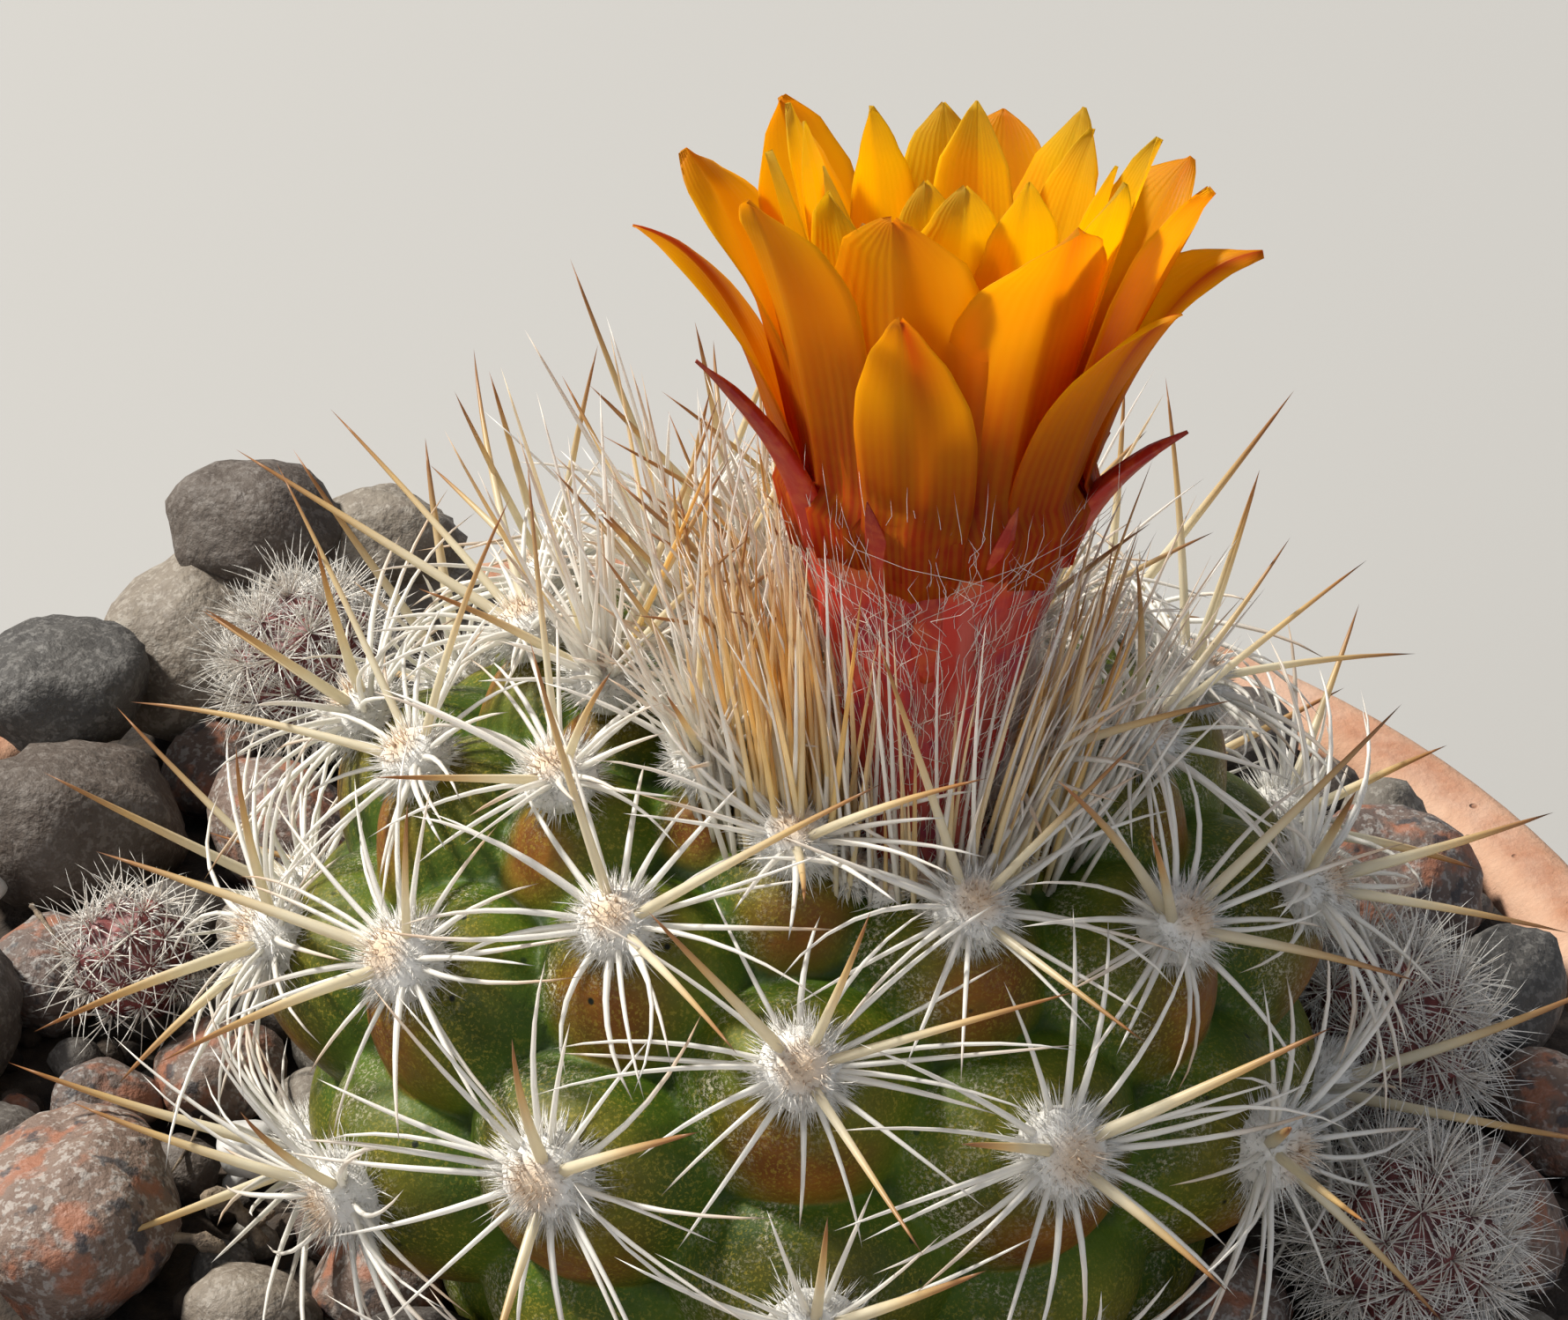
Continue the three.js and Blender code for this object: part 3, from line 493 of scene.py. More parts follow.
def stone_material(name, dark, light, grain, grains, size):
    """A pebble's mottled ground with grains of another mineral, and a tone for each stone"""
    m = Nodes(name, 0.72)
    tone, warmth = m.tint()[:2]
    base = m.ramp(m.noise(size, 5, 0.6), (0.32, dark), (0.68, light))
    crystals = m.times(m.between(m.noise(0.45, 2, 0.8), 0.52, 0.6), grains)
    base = m.mix(crystals, base, grain)
    black = m.times(m.between(m.dots(1.1), 0.16, 0.1), 0.75 * grains)
    base = m.mix(black, base, (0.02, 0.02, 0.022))
    base = m.mix(m.times(warmth, 0.3), base, m.mix(0.5, base, (0.3, 0.17, 0.09)))
    dim = m.mix(1.0, base, (0.35, 0.34, 0.36), "MULTIPLY")
    base = m.mix(m.between(tone, 0, 1, 0.0, 0.55), base, dim)
    if name == "granite":
        rust = m.between(m.noise(1.7, 3), 0.52, 0.62, 0.0, 0.8)
        base = m.mix(rust, base, (0.27, 0.1, 0.05))
        base = m.mix(m.between(m.noise(1.1, 3), 0.6, 0.66, 0.0, 0.8), base, (0.03, 0.03, 0.035))
    m.colour(base)
    m.rough(m.between(m.noise(0.6, 3), 0.3, 0.7, 0.55, 0.85))
    m.bump(m.plus(m.noise(2.2, 6, 0.62), m.times(m.noise(0.35, 3), 0.4)), 0.5, 0.6)
    return m.material


def clay_material():
    """Fired clay: mottled orange, with a pale mineral bloom low down and under the rim, fine
    grit, and worn, paler edges"""
    m = Nodes("clay", 0.86)
    edge, bloom = m.tint()[:2]
    base = m.ramp(m.noise(9, 5), (0.3, (0.3, 0.12, 0.06)), (0.55, (0.38, 0.165, 0.085)),
                  (0.75, (0.45, 0.22, 0.125)))
    fine = m.times(m.between(m.noise(0.5, 3, 0.7), 0.5, 0.7), 0.35)
    base = m.mix(fine, base, (0.5, 0.28, 0.17))
    chalk = m.times(bloom, m.between(m.noise(7, 6, 0.65), 0.42, 0.66))
    base = m.mix(chalk, base, (0.68, 0.58, 0.48))
    pits = m.times(m.between(m.dots(1.6), 0.13, 0.08), m.between(m.noise(6, 1), 0.5, 0.56))
    base = m.mix(pits, base, (0.2, 0.075, 0.035))
    m.colour(m.mix(m.times(edge, 0.55), base, (0.52, 0.33, 0.22)))
    rings = m.put("ShaderNodeTexWave", "Fac", settings={"wave_type": "BANDS", "bands_direction": "Z"},
                  Vector=m.place(), Scale=260.0, Distortion=1.5, Detail=2.0)
    relief = m.plus(m.times(rings, 0.25), m.plus(m.noise(0.6, 4, 0.65), m.times(pits, -1.5)))
    m.bump(relief, 0.16, 0.7)
    m.rough(m.between(m.noise(3, 3), 0.3, 0.7, 0.76, 0.94))
    return m.material


# Stem


def stem_point(angle, turn, inset=0.0):
    """A point of the ellipsoid through the areoles, or of one inset below it"""
    r = STEM_RADIUS * np.sin(angle)
    dip = np.where(angle < math.pi / 2, CROWN_DIP * np.exp(-((r / CROWN_WIDTH) ** 2)), 0)
    z = STEM_RADIUS * SQUASH * np.cos(angle) - dip
    slope = np.hypot(SQUASH * np.sin(angle), np.cos(angle))
    narrowed = np.maximum(0, r - inset * SQUASH * np.sin(angle) / slope)
    return STEM + around(narrowed, turn, z - inset * np.cos(angle) / slope)


class Areole:
    """Its place on the stem, the directions up its rib, sideways and outwards, and the
    spacing of the areoles about it"""

    def __init__(self, index):
        self.index = index
        self.angle = math.radians(AREOLE_ANGLE + AREOLE_STEP * index + STEP_GROWTH * index * index)
        self.turn = math.radians((RIB_DRIFT - 720) * index / RIBS)
        self.place = stem_point(self.angle, self.turn)
        step = 1e-3
        up = stem_point(self.angle - step, self.turn) - self.place
        arc = np.linalg.norm(up) / step
        self.up = unit(up)
        self.side = np.array([math.cos(self.turn), math.sin(self.turn), 0])
        self.normal = unit(np.cross(self.side, self.up))
        pitch = math.radians(AREOLE_STEP + 2 * STEP_GROWTH * index)
        self.spacing = math.sqrt(TAU * STEM_RADIUS * math.sin(self.angle) * arc * pitch)
        self.size = min(1.0, max(0.45, self.spacing / FULL_SPACING))

    def direction(self, turn, rise):
        """At a compass turn round the areole, in radians, and a rise over the surface"""
        flat = np.cos(turn)[..., None] * self.up + np.sin(turn)[..., None] * self.side
        return np.cos(rise)[..., None] * flat + np.sin(rise)[..., None] * self.normal


AREOLES = [Areole(i) for i in range(FIRST_AREOLE, LAST_AREOLE + BURIED + 1)]
SHOWN = [a for a in AREOLES if a.index <= LAST_AREOLE]


def tubercles(points):
    """Height over the furrows, and values for the skin's colours: share of the full height,
    chin below the areole and scurf above it"""
    height = np.zeros(points.shape[:-1])
    chin, scurf, full_share = (np.zeros_like(height) for _ in range(3))
    for a in AREOLES:
        away = points - a.place
        above, across, out = away @ a.up, away @ a.side, away @ a.normal
        along = np.where(above > 0, above * 1.3, above / 1.2)
        share = np.sqrt(across**2 + along**2 + out**2) / (0.62 * a.spacing)
        full = TUBERCLE * min(1, a.spacing / FULL_SPACING)
        nose = np.exp(-((across / (0.24 * a.spacing)) ** 2) - ((above / a.spacing + 0.27) / 0.2) ** 2)
        here = full * (1 - share**2) + 0.16 * full * nose
        here = np.where(share < 1.1, here, 0)
        owns = here > height
        height = np.where(owns, here, height)
        full_share = np.where(owns, here / full, full_share)
        narrow = np.clip(1.5 - abs(across) / (0.3 * a.spacing), 0, 1)
        low = np.clip((-above / a.spacing - 0.1) / 0.22, 0, 1) * narrow
        chin = np.where(owns, low, chin)
        one_side = np.clip((0.25 * above - across) / (0.25 * a.spacing), 0, 1)
        rim = np.clip((share - 0.4) / 0.25, 0, 1) * one_side
        rim = np.maximum(rim, 0.8 * np.exp(-(((share - 0.3) / 0.13) ** 2)))
        scurf = np.where(owns, rim, scurf)
    return height, np.stack([full_share, chin, scurf], -1)


def stem_skin():
    """The whole body with its tubercles, down to a flat foot between the pebbles"""
    rows, columns = 224, 344
    deepest = math.acos((STEM_BOTTOM - STEM[2]) / (STEM_RADIUS * SQUASH))
    angle = np.linspace(0.012, deepest, rows)[:, None]
    turn = (TAU * np.arange(columns) / columns)[None]
    angle, turn = np.broadcast_arrays(angle, turn)
    height, tint = tubercles(stem_point(angle, turn))
    points = stem_point(angle, turn, TUBERCLE - height)
    points[-1, :, 2] = STEM_BOTTOM
    shape = Shape()
    lies = np.stack([(turn / TAU) * 0.98 + 0.01, 0.98 - 0.96 * angle / deepest], -1)
    # Rows run down from the growing point, and turns towards +X, so faces look outwards
    grid(shape, points[:, ::-1], tint[:, ::-1], lies[:, ::-1], wrap=True)
    fan(shape, points[0].mean(0), 0, columns, False, tint[0, :1], [[0.5, 0.985]])
    foot = (STEM[0], STEM[1], STEM_BOTTOM)
    fan(shape, foot, (rows - 1) * columns, columns, True, tint[-1, :1], [[0.5, 0.015]])
    return shape


def on_skin(points, sunk=0.4):
    """The places on the skin under points near it, as seen from the stem's centre"""
    away = np.asarray(points) - STEM
    angle = np.arctan2(np.hypot(away[..., 0], away[..., 1]), away[..., 2] / SQUASH)
    turn = np.arctan2(away[..., 0], -away[..., 1])
    height = tubercles(stem_point(angle, turn))[0]
    return stem_point(angle, turn, TUBERCLE - height + sunk)


# Flower's place


def flower_matrix():
    """The flower's foot on the stem, and the turn that leans its axis"""
    foot = stem_point(math.radians(FLOWER_FOOT_ANGLE), math.radians(FLOWER_FOOT_TURN), FLOWER_INSET)
    side, back = math.radians(SIDE_LEAN), -math.radians(BACK_LEAN)
    return foot, turned("y", side) @ turned("x", back)


FLOWER_FOOT, FLOWER_TURN = flower_matrix()


def in_flower(points):
    """From the flower's own space, with its axis up, to the plant's"""
    return np.asarray(points) @ FLOWER_TURN.T + FLOWER_FOOT


def from_flower(points):
    return (np.asarray(points) - FLOWER_FOOT) @ FLOWER_TURN


def tube_radius(height):
    return TUBE_FOOT + (TUBE_RIM - TUBE_FOOT) * np.clip(height / TUBE_HEIGHT, 0, 1) ** 1.5


# Strands stay over these heights, the second one where they are this far from the pot's axis
GROUND, RIM_GROUND, NEAR_RIM = 74.2, 74.6, 35


def flower_envelope(height):
    """Radius that the tube and the petals fill at a height over the flower's foot"""
    petals = np.clip((height - 12) / 9, 0, 1)
    return tube_radius(height) + 0.3 + 4.5 * petals


def clears_flower(path):
    """Whether a strand stays outside the tube and the petals"""
    local = from_flower(path)
    reach = np.hypot(local[:, 0], local[:, 1])
    return not np.any((local[:, 2] > -1) & (local[:, 2] < 26) & (reach < flower_envelope(local[:, 2])))


def clears_ground(path):
    """Whether a strand stays over the pebbles, and over the pot's rim where it gets there"""
    out = np.hypot(path[:, 0], path[:, 1])
    return path[:, 2].min() > GROUND and not np.any((out > NEAR_RIM) & (path[:, 2] < RIM_GROUND))


# Spines and wool

# Strands at the crown: on each young areole, and then round the flower's foot in the
# golden brush, in front and behind
YOUNG_STRANDS, BRUSH_STRANDS, FRONT_STRANDS, BACK_STRANDS = 20, 205, 66, 240
# A full tuft's radius and number of hairs, and its height as a share of its radius
WOOL_RADIUS, TUFT_HAIRS, WOOL_RISE = 2.2, 730, 0.82


def curved_path(a, turn, rise, length, drop, sweep, steps):
    """A spine's centre line, which bends towards the stem by drop and sideways by sweep"""
    share = np.linspace(0, 1, steps)
    heading = a.direction(turn + sweep * share**1.5, rise - drop * share**1.3)
    middle = (heading[1:] + heading[:-1]) / 2
    run = np.concatenate([np.zeros((1, 3)), np.cumsum(middle, 0)]) * length / (steps - 1)
    return a.place - 0.9 * heading[0] + run


def tapered(radius, steps, blunt):
    """Radii along a spine, which narrows to its tip and a little at its root"""
    share = np.linspace(0, 1, steps)
    return radius * np.clip((1 - share) ** blunt, 0.12, 1) * (1 - 0.25 * (1 - np.clip(share * 8, 0, 1)))


def spines_shape(spines, sides, blunt=0.55):
    """The spines that stay clear of the flower and the ground"""
    kept = [s for s in spines if clears_flower(s[0]) and clears_ground(s[0])]
    paths = np.array([s[0] for s in kept])
    radii = np.array([tapered(s[1], paths.shape[1], blunt) for s in kept])
    shape = Shape()
    strands(shape, paths, radii, sides, [s[2] for s in kept])
    return shape


def radial_spines(random):
    """The fine spines round each areole, nearly upright on the young ones, some hooked"""
    spines = []
    for a in SHOWN:
        young = min(1.0, max(0.0, (-a.index - 8) / 10))
        for compass in RADIAL_TURNS * (2 if a.index < -13 else 1):
            turn = math.radians(compass + random.uniform(-9, 9))
            sideways = abs(math.sin(turn)) * (1 - young)
            length = 7.6 + 4.2 * sideways * random.uniform(0.35, 1) + random.uniform(-1.2, 1)
            length *= max(a.size, 0.86)
            rise = math.radians(random.uniform(18, 38) + 40 * young * random.uniform(0.1, 1))
            drop = math.radians(random.uniform(24, 60) * (1 - 0.65 * young))
            hook = random.uniform(-60, 60) if random.random() < 0.4 else random.uniform(-14, 14)
            sweep = math.radians(hook) + math.radians(18) * math.sin(turn) * random.random()
            path = curved_path(a, turn, rise, length, drop, sweep, 9)
            spines.append((path, random.uniform(0.125, 0.18), (random.random(), random.random() ** 3)))
    return spines_shape(spines, 5)


def central_spines(random):
    """The stout spines: as photographed in front, and the usual three or four elsewhere"""
    spines = []
    for a in SHOWN:
        usual = [(-38, 50, 12), (38, 50, 12), (180, 46, 9.5)] + [(0, 62, 10.5)] * (a.index < -3)
        for compass, lift, reach in FRONT_CENTRALS.get(a.index, usual):
            told = a.index in FRONT_CENTRALS
            loose = 3 if told else 16
            turn = math.radians(compass + random.uniform(-loose, loose))
            rise = math.radians(lift + random.uniform(-loose, loose) * 0.6)
            length = reach * (random.uniform(0.97, 1.06) if told else random.uniform(0.8, 1.1)) + 0.9
            drop = math.radians(random.uniform(2, 14))
            path = curved_path(a, turn, rise, length, drop, math.radians(random.uniform(-7, 7)), 10)
            thick = random.uniform(0.23, 0.3) * max(a.size, 0.8)
            spines.append((path, thick, (random.random(), random.random())))
    return spines_shape(spines, 6, 0.6)


def crown_spines(random):
    """The erect spines at the growing point and round the flower's foot: a golden brush on
    the growing point's side, and pale ones that cross in front and behind"""
    spines, pale = [], []
    for a in SHOWN:
        if a.index > -14:
            continue
        for k in range(YOUNG_STRANDS):
            turn = random.uniform(0, TAU)
            rise = math.radians(random.uniform(54, 86))
            length = random.uniform(6.5, 12.5)
            path = curved_path(a, turn, rise, length, math.radians(random.uniform(-8, 14)),
                               math.radians(random.uniform(-10, 10)), 9)
            path = path + a.side * random.uniform(-0.6, 0.6) + a.up * random.uniform(-0.6, 0.6)
            kind = spines if k < 3 else pale
            kind.append((path, random.uniform(0.11, 0.17), (random.random(), random.random() ** 2)))
    share = np.linspace(0, 1, 9)[:, None]

    def at_foot(turn, away, side_lean, out_lean, length, bow):
        start = on_skin(in_flower(around(tube_radius(0) + away, turn, 0.3)))
        flat = np.array([math.cos(turn), math.sin(turn), 0])
        heading = unit(around(out_lean, turn, 1.0) + side_lean * flat)
        bend = around(bow, turn, 0.0) - 0.8 * side_lean * flat
        return start + (share * length * heading + share**2 * bend) @ FLOWER_TURN.T

    for k in range(BRUSH_STRANDS):
        turn = math.radians(random.uniform(-140, -46) if k < 168 else random.uniform(62, 115))
        lean = 0.32 if k % 3 == 0 else 0.14
        path = at_foot(turn, random.uniform(0.3, 3.8), random.uniform(-lean, lean), random.uniform(0, 0.22),
                       random.uniform(6.5, 13.5), random.uniform(-0.2, 1.0))
        spines.append((path, random.uniform(0.11, 0.17), (random.random() ** 1.1, random.random() ** 2)))
    for k in range(FRONT_STRANDS):
        turn = math.radians(random.uniform(-52, 64))
        crossing = k % 5 == 0
        lean = 0.34 if crossing else 0.17
        short, long = (10.5, 14) if crossing else (5, 12)
        path = at_foot(turn, random.uniform(0.4, 3.2), random.uniform(-lean, lean),
                       random.uniform(0.02, 0.22), random.uniform(short, long), random.uniform(0.2, 1.4))
        (pale if crossing or k % 2 else spines).append(
            (path, random.uniform(0.09, 0.14), (random.uniform(0.3, 1), random.random() ** 2)))
    for k in range(BACK_STRANDS):
        turn = math.radians(random.uniform(70, 290))
        path = at_foot(turn, random.uniform(0.4, 5), random.uniform(-0.5, 0.5), random.uniform(0.05, 0.5),
                       random.uniform(6, 11.5), random.uniform(0, 1.4))
        pale.append((path, random.uniform(0.1, 0.15), (random.random(), random.random() ** 2)))
    return spines_shape(spines, 5, 0.6), spines_shape(pale, 5, 0.6)


def wool_hairs(shape, centre, normal, radius, number, draws, tan=1.0, thick=0.034):
    """A tuft of fine hairs that spread over a half ball, straight ones and some curled ones"""
    side = unit(np.cross(normal, [0.3, 0.5, 0.81]))
    over = np.cross(normal, side)
    for count, steps, bend, reach in ((number, 2, 0.0, 0.0), (number // 16, 4, 0.35, 0.14)):
        turn = draws.uniform(0, TAU, count)
        rise = np.arcsin(draws.uniform(-0.5, 1, count))
        flat = np.cos(turn)[:, None] * side + np.sin(turn)[:, None] * over
        heading = np.cos(rise)[:, None] * flat + WOOL_RISE * np.sin(rise)[:, None] * normal
        start = centre + 0.62 * radius * heading
        length = radius * (draws.uniform(0.3, 0.6, count) + reach)
        heading = unit(heading + 0.36 * unit(draws.normal(size=(count, 3))))
        curl = unit(draws.normal(size=(count, 3))) * (bend * length)[:, None]
        share = np.linspace(0, 1, steps)[None, :, None]
        paths = start[:, None] + share * (heading * length[:, None])[:, None] + share**2 * curl[:, None]
        radii = np.repeat(thick * (1 - 0.5 * share[..., 0]), count, 0)
        shade = tan * np.clip(3.2 * np.sin(rise) - 2.3, 0, 1)
        strands(shape, paths, radii, 3, np.stack([draws.uniform(0, 1, count), shade], -1))


def wool_pads(shape, places, random):
    """A felted cushion under the hairs of each tuft"""
    ball = ball_points(13, 26)
    for centre, normal, radius in places:
        side = unit(np.cross(normal, [0.3, 0.5, 0.81]))
        over = np.cross(normal, side)
        frame_ = np.stack([side, over, WOOL_RISE * normal])
        seed = Vector((random.uniform(0, 50), 0, 0))
        lumps = np.array([[noise.noise(Vector(p * 3.5) + seed) for p in row] for row in ball])
        points = centre + (ball * (radius * (1 + 0.12 * lumps))[..., None]) @ frame_
        tan = np.clip(3.2 * ball[..., 2] - 2.3, 0, 1)
        tint = np.stack([np.full(ball.shape[:2], 0.35), 0.5 + 0.4 * lumps, tan], -1)
        grid(shape, points[:, ::-1], tint[:, ::-1], None, wrap=True)


def areole_wool(draws, random):
    """A pad and a tuft of hairs on each areole and round the flower's foot"""
    pads, tufts = Shape(), Shape()
    places = []
    for a in SHOWN:
        radius = WOOL_RADIUS * min(1.0, max(0.82, a.spacing / FULL_SPACING))
        centre = a.place + 0.15 * a.normal
        local = from_flower(centre)
        if local[2] > -3 and math.hypot(local[0], local[1]) < tube_radius(local[2]) + 0.5:
            continue
        places.append((centre, a.normal, 0.74 * radius))
        number = int(TUFT_HAIRS * (radius / WOOL_RADIUS) ** 1.4)
        wool_hairs(tufts, centre, a.normal, radius, number, draws)
    for k in range(14):
        # Wool that the flower's foot stands in
        turn = TAU * (k + 0.4 * random.random()) / 14
        centre = on_skin(in_flower(around(tube_radius(0) + random.uniform(0.5, 1.1), turn, 0.3)), -0.1)
        normal = unit(unit(centre - STEM) + 0.3 * FLOWER_TURN[:, 2])
        places.append((centre, normal, random.uniform(0.7, 0.95)))
        wool_hairs(tufts, centre, normal, 1.35, 230, draws, 0.6)
    wool_pads(pads, places, random)
    return pads, tufts


# Flower


def repeatable(seed):
    """A stream of numbers from 0 to 1 that any machine repeats"""
    state = seed

    def draw():
        nonlocal state
        state = (state + 0x6D2B79F5) & 0xFFFFFFFF
        t = ((state ^ (state >> 15)) * (1 | state)) & 0xFFFFFFFF
        t = ((t + (((t ^ (t >> 7)) * (61 | t)) & 0xFFFFFFFF)) & 0xFFFFFFFF) ^ t
        return ((t ^ (t >> 14)) & 0xFFFFFFFF) / 4294967296

    return draw


def blade(shape, line, widths, half, turn, cup, thick, cell, red, random, tooth=0.0, twist=0.0, sway=0.0):
    """A petal along a bent line of (reach, height) points, cupped towards the axis: two
    faces, joined round their edge. red gives its redness at a share along and across."""
    steps = len(line)
    across = np.linspace(-1, 1, 15)
    along = unit(np.gradient(line, axis=0))
    share = np.linspace(0, 1, steps)
    teeth = 1 + tooth * np.clip((share - 0.62) / 0.2, 0, 1) * np.sin(share * 190 + 9 * random.random())
    wide = (half * widths * teeth)[:, None] * across[None]
    bow = cup * wide**2 / (2 * np.maximum(line[:, :1], 1.2))
    ripple = 0.13 * half * np.sin(5 * share + 6 * random.random())[:, None] * across[None] ** 2
    ripple = ripple + (twist * share**1.5)[:, None] * wide
    wide = wide + (sway * share**2)[:, None]
    crease = 0.12 * half * np.exp(-((across[None] / 0.16) ** 2)) * np.clip(1.2 - share, 0, 1)[:, None]
    thin = thick * (1 - 0.7 * across[None] ** 2) * (1.1 - 0.75 * share[:, None])
    thin = thin * np.clip((1.02 - share[:, None]) / 0.2, 0.15, 1)
    faces = []
    for face in (-1, 1):
        shift = face * thin / 2 - bow + ripple + crease
        out = line[:, :1] + along[:, 1:] * shift
        up = line[:, 1:] - along[:, :1] * shift
        faces.append(np.stack([wide, -out, up], -1))
    spin = turned("z", turn)
    rows, columns = wide.shape
    corner, width = cell
    first = shape.count
    middle, tall = 0.5 + 0.5 * across[None], share[:, None]
    tint = np.stack(np.broadcast_arrays(tall, middle, red(tall, across[None])), -1)
    for which, sheet in enumerate(faces):
        place = np.broadcast_arrays(0.04 + 0.44 * middle + 0.48 * which, 0.04 + 0.92 * tall)
        lies = corner + width * np.stack(place, -1)
        # The second face's columns run backwards, so that both faces look outwards
        way = slice(None, None, -1 if which else 1)
        grid(shape, in_flower(sheet @ spin.T)[:, way], tint[:, way], lies[:, way])
    r = np.arange(rows - 1)
    c = np.arange(columns - 1)

    def a(i, j):
        return first + i * columns + j

    def b(i, j):
        return first + rows * columns + i * columns + (columns - 1 - j)

    shape.quads += [
        np.stack([a(r, 0), a(r + 1, 0), b(r + 1, 0), b(r, 0)], -1),
        np.stack([a(r + 1, columns - 1), a(r, columns - 1), b(r, columns - 1), b(r + 1, columns - 1)], -1),
        np.stack([a(0, c + 1), a(0, c), b(0, c), b(0, c + 1)], -1),
        np.stack([a(rows - 1, c), a(rows - 1, c + 1), b(rows - 1, c + 1), b(rows - 1, c)], -1),
    ]


def bezier(start, bend, end, steps):
    """Points of a line that leaves start towards bend and ends at end"""
    t = np.linspace(0, 1, steps)[:, None]
    return (1 - t) ** 2 * np.array(start) + 2 * t * (1 - t) * np.array(bend) + t**2 * np.array(end)


def midrib(strength, half):
    """Red along the middle of a petal and stronger on one half, fading towards the foot"""
    def red(along, across):
        band = np.exp(-((across / (0.3 + 0.4 * along)) ** 2))
        return strength * np.clip(0.5 + half * across, 0.12, 1) * band * np.clip(1.8 * along - 0.4, 0, 1)

    return red


def petal_rows(rows, draw, random, red_rows):
    """Rows of petals that rise from the tube's rim, or from inside it, and spread"""
    shape = Shape()
    number = sum(len(row["turns"]) for row in rows)
    corner, width = cells(number)
    made = 0
    share = np.linspace(0, 1, 26)
    rounded = np.interp(share, [0, 0.25, 0.45, 0.6, 0.7, 0.8, 0.88, 0.95, 1],
                        [0.74, 0.88, 0.98, 1, 0.93, 0.75, 0.52, 0.25, 0.03])
    acute = np.interp(share, [0, 0.1, 0.25, 0.42, 0.55, 0.7, 0.85, 1],
                      [0.7, 0.8, 0.94, 1, 0.93, 0.7, 0.38, 0.03])
    for row, red_share in zip(rows, red_rows):
        for degrees in row["turns"]:
            turn = math.radians(degrees)
            spread = 1 - 0.3 * (1 - abs(math.sin(turn)))
            reach = row["reach"] * spread * (0.96 + 0.08 * draw())
            tip = row["tip"] + 0.8 * (draw() - 0.5)
            outermost = row["foot"] > 4.5
            start = (row["foot"] - 0.5, row["root"] - (3.4 if outermost else 2.7))
            arch = row["up"] - (0.3 * (1 - abs(math.sin(turn))) if outermost else 0)
            bend = (row["foot"] + (reach - row["foot"]) * row["out"],
                    row["root"] + (tip - row["root"]) * arch)
            line = bezier(start, bend, (reach, tip), len(share))
            if rows is OUTER_ROWS:
                # The outer petals run down the outside of the tube's rim
                rim = tube_radius(line[:, 1]) + 0.3 * share + (0.12 if outermost else -0.1)
                line[:, 0] = np.maximum(line[:, 0], rim - 2 * np.clip(line[:, 1] - TUBE_HEIGHT, 0, 1))
            widths = acute if outermost else rounded
            red = midrib(red_share * random.uniform(0.7, 1), 3 if math.cos(turn) > 0 else -3)
            blade(shape, line, widths, row["half"] * random.uniform(0.92, 1.12), turn, 0.9, 0.26,
                  (corner[made], width), red, random, 0.05, random.uniform(-0.3, 0.3),
                  random.uniform(-0.7, 0.7))
            made += 1
    return shape


def flower_tube():
    """The ribbed tube with its rim rolled inwards, and the cup inside it"""
    shape = Shape()
    columns = 72
    heights = np.linspace(-1.0, TUBE_HEIGHT, 46)
    turns = TAU * np.arange(columns) / columns
    h, t = np.meshgrid(heights, turns, indexing="ij")
    ribs = 0.12 * np.sin(9 * t + 0.7 * h) * np.clip(h / 5, 0, 1) + 0.1 * np.sin(5 * t - 1.3 * h)
    ribs = ribs * np.clip((TUBE_HEIGHT - 1.5 - h) / 3, 0, 1)
    rolled = 0.9 * np.clip((h - TUBE_HEIGHT + 1.3) / 1.3, 0, 1) ** 2
    outside = around(tube_radius(h) + ribs - rolled, t, h)
    inner_heights = np.linspace(TUBE_HEIGHT, CUP_FLOOR - 0.3, 14)
    hi, ti = np.meshgrid(inner_heights, turns, indexing="ij")
    cup = 3.5 - 1.2 * (TUBE_HEIGHT - hi) / (TUBE_HEIGHT - CUP_FLOOR)
    inside = around(cup, ti, hi)
    points = np.concatenate([outside, inside])
    tall = np.concatenate([np.clip(h / TUBE_HEIGHT, 0, 1), np.ones_like(hi)])
    rows = len(points)
    lies = np.stack([np.tile(turns / TAU * 0.97 + 0.01, (rows, 1)),
                     np.repeat(np.linspace(0.3, 0.98, rows)[:, None], columns, 1)], -1)
    tint = np.stack([tall, np.zeros_like(tall), np.zeros_like(tall)], -1)
    grid(shape, in_flower(points), tint, lies, wrap=True)
    fan(shape, in_flower((0, 0, -1.0)), 0, columns, False, [[0, 0, 0]], [[0.5, 0.29]])
    floor = in_flower((0, 0, CUP_FLOOR - 0.3))
    fan(shape, floor, (rows - 1) * columns, columns, True, [[1, 0, 0]], [[0.5, 0.99]])
    return shape


